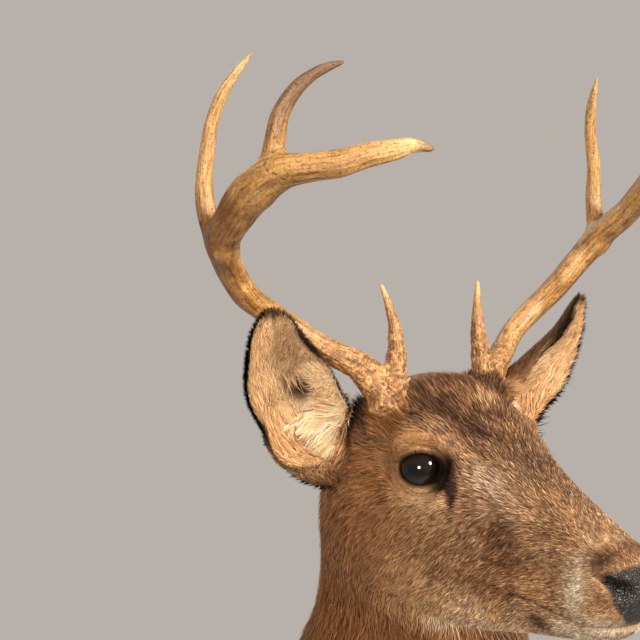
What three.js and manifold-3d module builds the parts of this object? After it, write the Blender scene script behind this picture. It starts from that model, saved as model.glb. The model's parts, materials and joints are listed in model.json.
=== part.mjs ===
// Whitetail buck, shoulder mount on a wall board. Life size, millimetres.
// +X runs to the viewer's right, +Z up, the wall is the plane Y = 0 and the mount reaches towards -Y.
// The origin is the centre of the board's back face. Every outline is the outline of the coat.
import * as THREE from "three";
import Module from "manifold-3d";
import { mergeVertices } from "three/addons/utils/BufferGeometryUtils.js";

// ---------------------------------------------------------------- driving dimensions
const HEAD_YAW = 32.03; // degrees the nose turns to the deer's left
const HEAD_DOWN = 16.99; // degrees the line of the mouth falls
const HEAD_ROLL = 7.37; // degrees the deer's left side is raised
const HEAD_AT = [10, -385, 325]; // point midway between the eyes
const BOARD_THICK = 19;
const BOARD_INSET = 6; // board edge inside the coat
const GAP = 0.3; // between touching pieces
const BOARD_TOP = 232, BOARD_BOTTOM = -250, BOARD_HALF_WIDTH = 170;
const WITHERS_AXIS_Z = 330; // height of the line about which the shoulder sections turn
const THROAT_AXIS = [-20, 0, -195]; // point of the line about which the nape sections turn, head frame
const LAST_SQUARE_X = -20; // last head section square to the head
const CAP_X = 150, CAP_Z = -54; // centre of the rays that shape the nose
const NECK_FROM_THROAT = 143; // throat line to neck centre
const NECK_X = -6;
const EYE_AT = [-8, 52, -3], EYE_R = 18; // head frame, y mirrored for the right eye
const EYE_AXIS = [0.62, 0.77, 0.12]; // outward through the cornea
const LID_OPEN = [18.5, 14, 12]; // half length, half height and depth of the cut that opens the lids
const EAR_COAT = 6; // thickness of the ear with its hair
const AROUND = 32; // points round a body section
const LEFT_SAG = 18; // the left beam leaves this much lower than the right

// ---------------------------------------------------------------- small helpers
const V = (x, y, z) => new THREE.Vector3(x, y, z);
const clamp = (v, a, b) => Math.min(b, Math.max(a, v));
const step = (t) => ((t = clamp(t, 0, 1)), t * t * (3 - 2 * t));
const smax = (a, b, k) => {
  const h = clamp(0.5 + (0.5 * (a - b)) / k, 0, 1);
  return b + (a - b) * h + k * h * (1 - h);
};
// Smooth curve through (x, y) knots, level beyond the ends.
function spline(xs, ys) {
  const n = xs.length, m = xs.map((_, i) => {
    const a = Math.max(0, i - 1), b = Math.min(n - 1, i + 1);
    return (ys[b] - ys[a]) / (xs[b] - xs[a]);
  });
  return (x) => {
    x = clamp(x, xs[0], xs[n - 1]);
    let i = 0;
    while (i < n - 2 && x >= xs[i + 1]) i++;
    const h = xs[i + 1] - xs[i], t = (x - xs[i]) / h;
    return ys[i] * (1 + 2 * t) * (1 - t) ** 2 + h * m[i] * t * (1 - t) ** 2 +
      ys[i + 1] * t * t * (3 - 2 * t) + h * m[i + 1] * t * t * (t - 1);
  };
}

// ---------------------------------------------------------------- head frame
const rad = Math.PI / 180;
const forward = V(Math.sin(HEAD_YAW * rad) * Math.cos(HEAD_DOWN * rad), -Math.cos(HEAD_YAW * rad) * Math.cos(HEAD_DOWN * rad), -Math.sin(HEAD_DOWN * rad));
const level = V(-forward.y, forward.x, 0).normalize();
const upright = forward.clone().cross(level);
const left = level.clone().multiplyScalar(Math.cos(HEAD_ROLL * rad)).addScaledVector(upright, Math.sin(HEAD_ROLL * rad));
const up = forward.clone().cross(left);
const headAt = V(...HEAD_AT);
const fromHead = (x, y, z) => headAt.clone().addScaledVector(forward, x).addScaledVector(left, y).addScaledVector(up, z);
const toHead = (p) => { const q = p.clone().sub(headAt); return [q.dot(forward), q.dot(left), q.dot(up)]; };
const dirHead = (x, y, z) => V(0, 0, 0).addScaledVector(forward, x).addScaledVector(left, y).addScaledVector(up, z);

// ---------------------------------------------------------------- head shape
// Stations along the head: x, top, bottom, and half widths at five fractions of the height.
const STATIONS = [
  [-110, 44, -97, 50, 56, 58, 56, 50],
  [-75, 57, -122, 52, 62, 62, 62, 56],
  [-42, 62, -134, 50, 64, 63, 62, 66],
  [-12, 51, -138, 49, 59, 62, 73, 66],
  [14, 39, -134, 46, 53, 57, 69, 60],
  [45, 27, -126, 42, 48, 49, 52, 45],
  [80, 12, -115, 36, 41, 40, 42, 34],
  [118, -4, -105, 30, 34, 34, 36, 32],
  [150, -16, -96, 27, 32, 34, 34, 32],
  [176, -25, -89, 26, 29, 31, 31, 30],
];
const FRACTIONS = [0, 0.3, 0.55, 0.78, 1];
const col = (k) => spline(STATIONS.map((s) => s[0]), STATIONS.map((s) => s[k]));
const topOf = col(1), bottomOf = col(2), widths = [3, 4, 5, 6, 7].map(col);
// Front of the nose and chin by height.
const frontOf = spline([-110, -95, -86, -78, -72, -62, -48, -38, -30, -22, -10], [150, 160, 171, 177, 180, 185, 188, 187, 182, 172, 140]);
// Swellings (+) and hollows (-) on both sides: centre, radii, height.
const FORMS = [
  [[4, 66, 24], [22, 16, 11], 4.5], // brow
  [[-24, 62, 14], [15, 16, 16], 1.5], // behind the eye
  [[-8, 62, -22], [26, 18, 10], 3], // cheek bone
  [[-26, 62, -66], [34, 26, 34], 5], // jaw muscle
  [[48, 50, -34], [22, 18, 20], 2], // face below the gland
  [[36, 50, -12], [15, 12, 9], -2.5], // tear gland
  [[72, 44, -48], [22, 14, 20], -1.5], // hollow before the jaw muscle
  [[-50, 50, 50], [16, 16, 20], 12.5], // base of the antler
  [[-58, 62, 16], [14, 14, 14], -3], // hollow before the ear
  [[8, 0, 42], [26, 13, 14], -1.5], // middle of the forehead
  [[160, 30, -66], [14, 12, 9], 2], // upper lip
];
function widthAt(x, t) {
  const w = widths.map((f) => f(x)), fr = FRACTIONS;
  const m = w.map((_, i) => { const a = Math.max(0, i - 1), b = Math.min(4, i + 1); return (w[b] - w[a]) / (fr[b] - fr[a]); });
  t = clamp(t, 0, 1);
  let i = 0;
  while (i < 3 && t >= fr[i + 1]) i++;
  const h = fr[i + 1] - fr[i], u = (t - fr[i]) / h;
  return w[i] * (1 + 2 * u) * (1 - u) ** 2 + h * m[i] * u * (1 - u) ** 2 + w[i + 1] * u * u * (3 - 2 * u) + h * m[i + 1] * u * u * (u - 1);
}
// Distance-like field of the head: negative inside the coat.
function headField([x, y, z]) {
  const top = topOf(x), bottom = bottomOf(x), H = top - bottom, t = (z - bottom) / H, e = 2 * t - 1;
  const S = widthAt(x, t);
  const g = (y / S) ** 2 + Math.abs(e) ** 4;
  const slope = Math.hypot((2 * y) / S ** 2, (8 * Math.abs(e) ** 3) / H);
  let d = (g - 1) / Math.max(slope, 2 / Math.max(S, 20));
  for (const [c, r, h] of FORMS) {
    const yy = c[1] ? Math.abs(y) : y;
    d -= h * Math.exp(-(((x - c[0]) / r[0]) ** 2 + ((yy - c[1]) / r[1]) ** 2 + ((z - c[2]) / r[2]) ** 2));
  }
  d = smax(d, x - (frontOf(z) - (y * y) / 95), 9);
  return smax(d, -x - 104, 22);
}

// ---------------------------------------------------------------- sections of the body
// The head's last square section and the neck's middle section meet in the throat line; the
// neck's middle section and the board meet in the withers line. Between them the sections turn
// about those lines, so no two sections cross inside the body.
const BOARD_Y = -(BOARD_THICK + GAP);
const P1 = fromHead(...THROAT_AXIS);
const inNeck = V(0, BOARD_Y - P1.y, WITHERS_AXIS_Z - P1.z).normalize(); // dorsal direction of the middle section
const neckNormal = V(1, 0, 0).cross(inNeck);
if (neckNormal.z < 0) neckNormal.negate();
const L1 = forward.clone().cross(neckNormal).normalize();
if (L1.dot(left) < 0) L1.negate();
const headCentre = fromHead(LAST_SQUARE_X, 0, -36);
const neckCentre = P1.clone().addScaledVector(inNeck, NECK_FROM_THROAT);
neckCentre.x = NECK_X;
function polar(p) {
  const q = p.clone().sub(P1), s = q.dot(L1);
  q.addScaledVector(L1, -s);
  const r = q.length();
  return { s, r, e: q.divideScalar(r) };
}
const A0 = polar(headCentre), A1 = polar(neckCentre);
const swing = Math.acos(A0.e.dot(A1.e)) * Math.sign(A0.e.clone().cross(A1.e).dot(L1));
const lat0 = Math.atan2(left.dot(A0.e), left.dot(L1)), lat1 = Math.atan2(A1.e.x, L1.x);
const fromWithers = V(0, neckCentre.y - BOARD_Y, neckCentre.z - WITHERS_AXIS_Z);
const swing2 = Math.atan2(-fromWithers.y, -fromWithers.z);
// Neck by section number: 0 the head's last square section, 1 the middle of the neck, 2 the board.
const N9 = [0, 0.25, 0.5, 0.75, 1, 1.25, 1.5, 1.75, 2];
const halfWidth = spline(N9, [60, 86, 94, 95, 97, 104, 124, 150, BOARD_HALF_WIDTH]);
const dorsal = spline(N9, [52, 80, 86, 84, 88, 114, 150, 194, BOARD_TOP + 10]);
const ventral = spline(N9, [60, 86, 94, 94, 97, 122, 156, 198, -BOARD_BOTTOM - 10]);
const reach = spline([1, 1.25, 1.5, 1.75, 2], [fromWithers.length(), 211, 240, 288, WITHERS_AXIS_Z + 10]);
const egg = spline([0, 1, 1.5, 2], [0, 0.04, 0.12, 0.24]); // narrowing towards the withers

function section(kind, t) {
  if (kind === "nose") {
    const a = (t * Math.PI) / 2;
    return { c: fromHead(CAP_X, 0, CAP_Z), lat: left, dor: up, axial: forward.clone().multiplyScalar(Math.cos(a)), s: Math.sin(a), n: null };
  }
  if (kind === "head")
    return { c: fromHead(CAP_X + (LAST_SQUARE_X - CAP_X) * t, 0, CAP_Z + 18 * step(t)), lat: left, dor: up, axial: V(0, 0, 0), s: 1, n: null, plane: forward };
  if (kind === "nape") {
    const s = step(t), e = A0.e.clone().applyAxisAngle(L1, swing * t);
    const c = P1.clone().addScaledVector(L1, A0.s + (A1.s - A0.s) * s).addScaledVector(e, A0.r + (A1.r - A0.r) * s);
    const b = lat0 + (lat1 - lat0) * s;
    const lat = L1.clone().multiplyScalar(Math.cos(b)).addScaledVector(e, Math.sin(b));
    const dor = L1.clone().multiplyScalar(-Math.sin(b)).addScaledVector(e, Math.cos(b));
    return { c, lat, dor, axial: V(0, 0, 0), s: 1, n: t, plane: lat.clone().cross(dor) };
  }
  const a = swing2 * (1 - t), d = V(0, -Math.sin(a), -Math.cos(a));
  const c = V(NECK_X * (1 - step(t)), BOARD_Y, WITHERS_AXIS_Z).addScaledVector(d, reach(1 + t));
  const dor = d.clone().negate(), lat = V(1, 0, 0);
  return { c, lat, dor, axial: V(0, 0, 0), s: 1, n: 1 + t, plane: lat.clone().cross(dor) };
}
function neckRadius(n, cs, sn) {
  const a = halfWidth(n) * (1 - egg(n) * sn), b = sn > 0 ? dorsal(n) : ventral(n), p = 2.15;
  return (Math.abs(cs / a) ** p + Math.abs(sn / b) ** p) ** (-1 / p);
}
// Last crossing of the head's surface along a ray.
function headRadius(c, d, off) {
  const o = toHead(c), v = [d.dot(forward), d.dot(left), d.dot(up)];
  const f = (r) => headField([o[0] + v[0] * r, o[1] + v[1] * r, o[2] + v[2] * r]) - off;
  let before = f(0), hit = 0;
  for (let r = 6; r < 230; r += 6) {
    const now = f(r);
    if (before < 0 && now >= 0) hit = r;
    before = now;
  }
  if (!hit) return 0;
  let lo = hit - 6, hi = hit;
  for (let i = 0; i < 12; i++) { const m = (lo + hi) / 2; if (f(m) < 0) lo = m; else hi = m; }
  return (lo + hi) / 2;
}
function sections(off) {
  const list = [];
  for (const t of [0.16, 0.34, 0.52, 0.7, 0.86]) list.push(["nose", t]);
  const HEADS = 15, NAPES = 16, CHESTS = 15;
  for (let i = 0; i < HEADS; i++) list.push(["head", i / HEADS]);
  for (let i = 0; i < NAPES; i++) list.push(["nape", i / NAPES]);
  for (let i = 0; i <= CHESTS; i++) list.push(["chest", i / CHESTS]);
  const rings = list.map(([kind, t]) => {
    const q = section(kind, t), pts = [];
    for (let j = 0; j < AROUND; j++) {
      const th = (j / AROUND) * 2 * Math.PI - Math.PI / 2, cs = Math.cos(th), sn = Math.sin(th);
      const d = q.axial.clone().addScaledVector(q.lat, cs * q.s).addScaledVector(q.dor, sn * q.s);
      const rn = q.n === null ? 0 : Math.max(1, neckRadius(q.n, cs, sn) + off);
      const rh = q.n === null || q.n <= 1.001 ? headRadius(q.c, d, off) : 0;
      pts.push(q.c.clone().addScaledVector(d, q.n === null ? rh : smax(rn, rh, 22)));
    }
    return { ...q, kind, t, pts };
  });
  // Ease the meeting of head, neck and chest, keeping each section in its plane.
  const soft = rings.map((r) => (r.kind === "nape" ? step(r.t / 0.15) : r.kind === "chest" ? step((0.5 - r.t) / 0.3) : 0));
  for (let pass = 0; pass < 3; pass++) {
    const old = rings.map((r) => r.pts);
    rings.forEach((r, i) => {
      if (!soft[i]) return;
      r.pts = r.pts.map((p, j) => {
        const q = old[i - 1][j].clone().add(old[i + 1][j]).multiplyScalar(0.5).sub(p).multiplyScalar(0.5 * soft[i]);
        q.addScaledVector(r.plane, -q.dot(r.plane));
        return p.clone().add(q);
      });
    });
  }
  return rings;
}

// ---------------------------------------------------------------- closed lofts
function geometry(pos, tri) {
  const g = new THREE.BufferGeometry();
  g.setAttribute("position", new THREE.Float32BufferAttribute(pos.flatMap((p) => [p.x, p.y, p.z]), 3));
  g.setIndex(tri.flat());
  g.computeVertexNormals();
  return g;
}
const middle = (pts) => pts.reduce((a, p) => a.add(p), V(0, 0, 0)).divideScalar(pts.length);
function loft(rings, first = null, last = null) {
  const m = rings[0].length, pos = rings.flat(), tri = [];
  for (let i = 0; i + 1 < rings.length; i++)
    for (let j = 0; j < m; j++) {
      const a = i * m + j, b = i * m + ((j + 1) % m), c = a + m, d = b + m;
      tri.push([a, b, d], [a, d, c]);
    }
  const p0 = pos.push(first || middle(rings[0])) - 1, p1 = pos.push(last || middle(rings[rings.length - 1])) - 1, z = (rings.length - 1) * m;
  for (let j = 0; j < m; j++) tri.push([p0, (j + 1) % m, j], [p1, z + j, z + ((j + 1) % m)]);
  return facingOut(geometry(pos, tri));
}
function facingOut(g) {
  const p = g.getAttribute("position"), ix = g.index.array;
  let v = 0;
  const a = V(), b = V(), c = V();
  for (let i = 0; i < ix.length; i += 3) {
    a.fromBufferAttribute(p, ix[i]); b.fromBufferAttribute(p, ix[i + 1]); c.fromBufferAttribute(p, ix[i + 2]);
    v += a.dot(b.clone().cross(c));
  }
  if (v < 0) for (let i = 0; i < ix.length; i += 3) [ix[i + 1], ix[i + 2]] = [ix[i + 2], ix[i + 1]];
  g.computeVertexNormals();
  return g;
}

// ---------------------------------------------------------------- joining and cutting
const wasm = await Module();
wasm.setup();
function solid(g) {
  const bare = new THREE.BufferGeometry().setAttribute("position", g.getAttribute("position")).setIndex(g.index);
  const m = mergeVertices(bare, 1e-4);
  return new wasm.Manifold(new wasm.Mesh({ numProp: 3, vertProperties: new Float32Array(m.attributes.position.array), triVerts: new Uint32Array(m.index.array) }));
}
function back(s) {
  const parts = s.decompose().sort((a, b) => b.volume() - a.volume());
  const m = parts[0].getMesh(), v = new Float32Array(m.numVert * 3);
  for (let i = 0; i < m.numVert; i++) v.set(m.vertProperties.subarray(i * m.numProp, i * m.numProp + 3), i * 3);
  const g = new THREE.BufferGeometry().setAttribute("position", new THREE.BufferAttribute(v, 3)).setIndex(new THREE.BufferAttribute(m.triVerts, 1));
  g.computeVertexNormals();
  return g;
}

// ---------------------------------------------------------------- head, neck and shoulders
const noseTip = (off) => fromHead(CAP_X + headRadius(fromHead(CAP_X, 0, CAP_Z), forward, off), 0, CAP_Z);
const shifted = (r, by) => r.pts.map((p) => p.clone().addScaledVector(r.plane, by));
const rings = sections(0), grown = sections(GAP);
const cutHead = rings.findIndex((r) => r.kind === "nape" && r.t >= 0.5);
const cutNeck = rings.findIndex((r) => r.kind === "chest" && r.t >= 0.28);
// +plane points towards the nose in every section
const sense = (r) => Math.sign(r.plane.dot(rings[0].c.clone().sub(rings[rings.length - 1].c))) || 1;
const side = (i, by) => shifted(rings[i], by * sense(rings[i]));
const pick = (R, a, b) => R.slice(a, b).map((r) => r.pts);
const headLoft = loft([...pick(rings, 0, cutHead), side(cutHead, GAP / 2)], noseTip(0));
const headGrown = loft(pick(grown, 0, cutHead + 1), noseTip(GAP));
const neckGrown = loft(pick(grown, cutHead - 1, cutNeck + 1));
const neckLoft = loft([side(cutHead, -GAP / 2), ...pick(rings, cutHead + 1, cutNeck), side(cutNeck, GAP / 2)]);
const shoulderLoft = loft([side(cutNeck, -GAP / 2), ...pick(rings, cutNeck + 1, rings.length)]);

// ---------------------------------------------------------------- eyes
const mirror = (p, s) => [p[0], p[1] * s, p[2]]; // s = +1 left, -1 right
function ball(r, at, ws, hs) {
  const g = new THREE.SphereGeometry(r, ws, hs);
  g.translate(at.x, at.y, at.z);
  return g;
}
const eyePole = (s) => { const a = V(...mirror(EYE_AXIS, s)).normalize(); return dirHead(a.x, a.y, a.z); };
const eyeCentre = (s) => fromHead(...mirror(EYE_AT, s));
function lidCut(s) {
  const g = new THREE.SphereGeometry(1, 14, 8), out = eyePole(s);
  const along = forward.clone().addScaledVector(out, -forward.dot(out)).normalize();
  along.applyAxisAngle(out, 0.16 * s);
  const across = out.clone().cross(along), at = eyeCentre(s).addScaledVector(out, EYE_R + 1);
  g.applyMatrix4(new THREE.Matrix4().makeBasis(along.multiplyScalar(LID_OPEN[0]), across.multiplyScalar(LID_OPEN[1]), out.multiplyScalar(LID_OPEN[2])).setPosition(at));
  return facingOut(g);
}

// ---------------------------------------------------------------- ears
// Midline of the opening in the head frame (y outwards), half width and half angle of the cup.
const EAR_LINE = [[-88, 54, -26], [-81, 83, -10], [-75, 107, 10], [-70, 126, 36], [-67, 145, 62], [-66, 156, 86], [-66, 160, 102], [-66, 163, 112]];
const earHalf = spline([0, 0.12, 0.3, 0.5, 0.7, 0.86, 0.95, 1], [25, 28, 32, 34, 31, 21, 12, 4]);
const earCup = spline([0, 0.15, 0.3, 0.5, 0.75, 1], [140, 118, 92, 74, 56, 46]); // degrees
const EAR_FACING = [0.84, 0.5, 0.2];
function ear(s) {
  const line = new THREE.CatmullRomCurve3(EAR_LINE.map((p) => fromHead(...mirror(p, s))), false, "centripetal");
  const face = dirHead(...mirror(EAR_FACING, s)).normalize();
  const n = 14, m = 8, pos = [], tri = [];
  for (let i = 0; i <= n; i++) {
    const u = i / n, mid = line.getPointAt(u), along = line.getTangentAt(u);
    const open = face.clone().addScaledVector(along, -face.dot(along)).normalize();
    const across = along.clone().cross(open);
    const A = earCup(u) * rad, half = earHalf(u), rho = A > Math.PI / 2 ? half : half / Math.sin(A);
    const th = (EAR_COAT / 2) * (1 - 0.35 * u);
    for (const [r, way] of [[rho + th, 1], [Math.max(2, rho - th), -1]])
      for (let j = 0; j <= m; j++) {
        const w = way * (-1 + (2 * j) / m) * A;
        pos.push(mid.clone().addScaledVector(across, r * Math.sin(w)).addScaledVector(open, rho * Math.cos(A) - r * Math.cos(w)));
      }
  }
  const k = 2 * (m + 1);
  for (let i = 0; i < n; i++)
    for (let j = 0; j < k; j++) {
      const a = i * k + j, b = i * k + ((j + 1) % k);
      tri.push([a, b, b + k], [a, b + k, a + k]);
    }
  for (let j = 0; j < m; j++) {
    const o = j, o2 = j + 1, q = k - 1 - j, q2 = k - 2 - j;
    tri.push([o2, o, q], [o2, q, q2]);
    const z = n * k;
    tri.push([z + o, z + o2, z + q], [z + o2, z + q2, z + q]);
  }
  return facingOut(geometry(pos, tri));
}

// ---------------------------------------------------------------- antlers
// Centre lines in the head frame (y outwards) with the radius at each point.
const BEAM = [
  [-47, 44, 30, 17], [-52, 53, 43, 17], [-59, 65, 57, 14], [-64, 79, 69, 11.4], [-72, 93, 76, 10.6], [-82, 108, 84, 10.4], [-91, 125, 96, 10.4],
  [-96, 146, 109, 10.6], [-97, 165, 122, 11], [-93, 186, 146, 11.6], [-84, 198, 167, 12.6], [-61, 203, 190, 13.6], [-41, 201, 210, 14.2],
  [-18, 195, 225, 13], [2, 184, 231, 11.2], [16, 171, 235, 10.6], [29, 157, 242, 9.4], [39, 142, 247, 8], [46, 131, 251, 5.6], [54, 121, 250, 2.6],
];
const FORK_2 = 0.565, FORK_3 = 0.715; // where the second and third tines leave, along the beam
const BROW = [[-53, 49, 50, 9], [-57, 46, 66, 9], [-60, 44, 80, 7.2], [-64, 44, 95, 5.6], [-69, 46, 110, 4.2], [-77, 51, 130, 1.6]];
const SECOND = [[-84, 198, 160, 9], [-96, 203, 178, 8.4], [-104, 205, 200, 7.4], [-106, 203, 230, 6.5], [-109, 198, 256, 5.5], [-105, 192, 277, 4.8], [-98, 186, 292, 3.4], [-90, 180, 305, 1.2]];
const THIRD = [[-40, 199, 206, 9.5], [-29, 197, 228, 9.4], [-27, 196, 248, 8.2], [-26, 193, 266, 7.1], [-21, 186, 283, 6], [-15, 178, 293, 4.8], [-8, 169, 300, 3.6], [-3, 160, 304, 1.6]];
const FLAT = 1.18; // the palm between the forks is wider than thick
function horn(points, s, from, to, steps, sides, grow = 0, tip = true) {
  const sag = (i) => (points === BEAM && s > 0 ? LEFT_SAG * Math.sin(Math.PI * clamp(i / 10, 0, 1)) : 0);
  const curve = new THREE.CatmullRomCurve3(points.map((p, i) => fromHead(p[0] - 0.9 * sag(i), p[1] * s, p[2] - sag(i))), false, "centripetal");
  const lengths = curve.getLengths(400), L = lengths[400];
  const at = points.map((_, i) => lengths[Math.round((i / (points.length - 1)) * 400)] / L);
  const rOf = spline(at, points.map((p) => p[3]));
  const rings = [];
  let side = dirHead(0.3, 0.2 * s, 1);
  for (let i = 0; i <= steps; i++) {
    const u = from + ((to - from) * i) / steps, c = curve.getPointAt(clamp(u, 0, 1)), T = curve.getTangentAt(clamp(u, 0, 1));
    side = side.clone().addScaledVector(T, -side.dot(T)).normalize();
    const other = T.clone().cross(side), r = Math.max(rOf(u) + grow, 0.6), ring = [];
    const palm = points === BEAM ? 1 + (FLAT - 1) * Math.exp(-(((u - 0.66) / 0.1) ** 2)) : 1;
    for (let j = 0; j < sides; j++) {
      const a = (j / sides) * 2 * Math.PI;
      ring.push(c.clone().addScaledVector(side, r * palm * Math.cos(a)).addScaledVector(other, (r / palm) * Math.sin(a)));
    }
    rings.push(ring);
  }
  return { g: loft(rings), L };
}
function antler(s) {
  const gap = GAP / horn(BEAM, s, 0, 1, 4, 6).L;
  const lengths = [[0, FORK_2, 20], [FORK_2 + gap, FORK_3, 7], [FORK_3 + gap, 1, 12]];
  const [lower, mid, end] = lengths.map(([a, b, n]) => solid(horn(BEAM, s, a, b, n, 10).g));
  const beamGrown = lengths.map(([a, b, n]) => solid(horn(BEAM, s, a, b, n, 10, 1.1 * GAP).g)).reduce((p, q) => p.add(q));
  const head = solid(headGrown);
  const tine = (pts, n) => solid(horn(pts, s, 0, 1, n, 8).g).subtract(beamGrown).subtract(head);
  return {
    beam_lower: back(lower.subtract(head)), beam_middle: back(mid), beam_end: back(end),
    brow_tine: back(tine(BROW, 9)), second_tine: back(tine(SECOND, 12)), third_tine: back(tine(THIRD, 11)),
  };
}

// ---------------------------------------------------------------- board
function board() {
  const shape = new THREE.Shape(), n = 56;
  for (let i = 0; i < n; i++) {
    const th = (i / n) * 2 * Math.PI, r = neckRadius(2, Math.cos(th), Math.sin(th)) - BOARD_INSET;
    const x = r * Math.cos(th), z = WITHERS_AXIS_Z - reach(2) + r * Math.sin(th);
    if (i) shape.lineTo(x, z); else shape.moveTo(x, z);
  }
  shape.closePath();
  const g = new THREE.ExtrudeGeometry(shape, { depth: BOARD_THICK, bevelEnabled: false, curveSegments: 1 });
  g.rotateX(Math.PI / 2);
  return g;
}

// ---------------------------------------------------------------- the mount
const hide = new THREE.MeshStandardMaterial({ color: 0x8a6a48, roughness: 0.95 });
const antlerBone = new THREE.MeshStandardMaterial({ color: 0xb08a55, roughness: 0.55 });
const eyeGlass = new THREE.MeshStandardMaterial({ color: 0x14100e, roughness: 0.05 });
const plywood = new THREE.MeshStandardMaterial({ color: 0xb98d5c, roughness: 0.7 });
const mount = new THREE.Group();
function add(name, g, material) {
  const m = new THREE.Mesh(g, material);
  m.name = name;
  mount.add(m);
}
add("backboard", board(), plywood);
add("shoulders", shoulderLoft, hide);
let head = solid(headLoft), neck = solid(neckLoft);
for (const s of [-1, 1]) {
  const which = s < 0 ? "right" : "left";
  head = head.subtract(solid(ball(EYE_R + GAP, eyeCentre(s), 18, 12))).subtract(solid(lidCut(s)));
  add("eye_" + which, ball(EYE_R, eyeCentre(s), 18, 12), eyeGlass);
  add("ear_" + which, back(solid(ear(s)).subtract(solid(headGrown)).subtract(solid(neckGrown))), hide);
  for (const [name, g] of Object.entries(antler(s))) add("antler_" + which + "_" + name, g, antlerBone);
}
add("head", back(head), hide);
add("neck", back(neck), hide);

export default mount;
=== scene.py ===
# Whitetail buck shoulder mount: skin, coat, eyes, antlers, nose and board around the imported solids.
import json, math, time
import bpy
import numpy as np
from mathutils import Matrix, Vector

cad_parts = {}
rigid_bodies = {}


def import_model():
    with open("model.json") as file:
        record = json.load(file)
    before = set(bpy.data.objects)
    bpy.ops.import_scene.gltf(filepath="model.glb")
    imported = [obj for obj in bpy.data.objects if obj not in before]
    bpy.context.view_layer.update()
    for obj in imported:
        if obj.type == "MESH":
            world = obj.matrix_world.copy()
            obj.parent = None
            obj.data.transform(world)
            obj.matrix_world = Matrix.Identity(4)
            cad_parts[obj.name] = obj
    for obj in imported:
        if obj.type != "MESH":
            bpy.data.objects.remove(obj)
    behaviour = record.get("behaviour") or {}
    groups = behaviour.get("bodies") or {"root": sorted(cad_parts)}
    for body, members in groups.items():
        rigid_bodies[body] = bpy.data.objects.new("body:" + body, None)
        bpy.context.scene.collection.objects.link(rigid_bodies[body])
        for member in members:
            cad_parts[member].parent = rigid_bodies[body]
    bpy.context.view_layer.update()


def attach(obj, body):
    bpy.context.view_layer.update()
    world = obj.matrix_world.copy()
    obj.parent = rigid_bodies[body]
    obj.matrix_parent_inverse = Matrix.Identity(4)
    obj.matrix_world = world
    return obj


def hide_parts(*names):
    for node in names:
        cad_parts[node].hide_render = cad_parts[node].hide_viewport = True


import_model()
T0 = time.time()
rng = np.random.default_rng(20417)


def log(*a):
    print("[scene %.1fs]" % (time.time() - T0), *a, flush=True)


# ------------------------------------------------------------------ shared dimensions, mm
HEAD_YAW, HEAD_DOWN, HEAD_ROLL = 32.03, 16.99, 7.37
T = np.array([10.0, -385.0, 325.0])
BOARD_THICK, GAP = 19.0, 0.3
BOARD_TOP, BOARD_BOTTOM, BOARD_HALF_WIDTH = 232.0, -250.0, 170.0
WITHERS_Z = 330.0
X0 = -20.0
CAP_X, CAP_Z = 150.0, -54.0
EYE_AT, EYE_R = np.array([-8.0, 52.0, -3.0]), 18.0
EYE_AXIS = np.array([0.62, 0.77, 0.12])


def unit(v):
    v = np.asarray(v, float)
    return v / np.maximum(np.linalg.norm(v, axis=-1, keepdims=True), 1e-12)


def sstep(t, a=0.0, b=1.0):
    t = np.clip((np.asarray(t, float) - a) / (b - a), 0, 1)
    return t * t * (3 - 2 * t)


def smax(a, b, k):
    h = np.clip(0.5 + 0.5 * (a - b) / k, 0, 1)
    return b + (a - b) * h + k * h * (1 - h)


def spline(xs, ys):
    xs, ys = np.array(xs, float), np.array(ys, float)
    n = len(xs)
    m = np.array([(ys[min(n - 1, i + 1)] - ys[max(0, i - 1)]) / (xs[min(n - 1, i + 1)] - xs[max(0, i - 1)]) for i in range(n)])

    def f(x):
        x = np.clip(x, xs[0], xs[-1])
        i = np.clip(np.searchsorted(xs, x, side="right") - 1, 0, n - 2)
        h = xs[i + 1] - xs[i]
        t = (x - xs[i]) / h
        return ys[i] * (1 + 2 * t) * (1 - t) ** 2 + h * m[i] * t * (1 - t) ** 2 + ys[i + 1] * t * t * (3 - 2 * t) + h * m[i + 1] * t * t * (t - 1)

    return f


rad = math.pi / 180
fwd = np.array([math.sin(HEAD_YAW * rad) * math.cos(HEAD_DOWN * rad), -math.cos(HEAD_YAW * rad) * math.cos(HEAD_DOWN * rad), -math.sin(HEAD_DOWN * rad)])
_level = unit([-fwd[1], fwd[0], 0])
_upright = np.cross(fwd, _level)
lft = math.cos(HEAD_ROLL * rad) * _level + math.sin(HEAD_ROLL * rad) * _upright
upv = np.cross(fwd, lft)
M = np.stack([fwd, lft, upv], 1)


def row(p):
    return np.asarray(p, float) @ M.T + T


def head(p):
    return (np.asarray(p, float) - T) @ M


def dirrow(d):
    return np.asarray(d, float) @ M.T


# ------------------------------------------------------------------ noise
def _hash(i, j, k, seed):
    h = (i.astype(np.int64) * 374761393 + j.astype(np.int64) * 668265263 + k.astype(np.int64) * 2147483647 + seed * 1274126177) & 0xFFFFFFFF
    h = ((h ^ (h >> 13)) * 1274126177) & 0xFFFFFFFF
    h = (h ^ (h >> 16)) & 0xFFFFFFFF
    return h.astype(np.float64) / 4294967295.0


def noise(P, scale, seed=0):
    """smooth value noise, -1..1"""
    q = np.asarray(P, float) / scale
    b = np.floor(q)
    f = q - b
    f = f * f * (3 - 2 * f)
    b = b.astype(np.int64)
    out = 0.0
    for dx in (0, 1):
        wx = f[..., 0] if dx else 1 - f[..., 0]
        for dy in (0, 1):
            wy = f[..., 1] if dy else 1 - f[..., 1]
            for dz in (0, 1):
                wz = f[..., 2] if dz else 1 - f[..., 2]
                out = out + wx * wy * wz * _hash(b[..., 0] + dx, b[..., 1] + dy, b[..., 2] + dz, seed)
    return out * 2 - 1


def fbm(P, scale, seed=0, octaves=3):
    s, a, t = 0.0, 1.0, 0.0
    for o in range(octaves):
        s = s + a * noise(P, scale / 2 ** o, seed + 17 * o)
        t += a
        a *= 0.5
    return s / t


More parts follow.
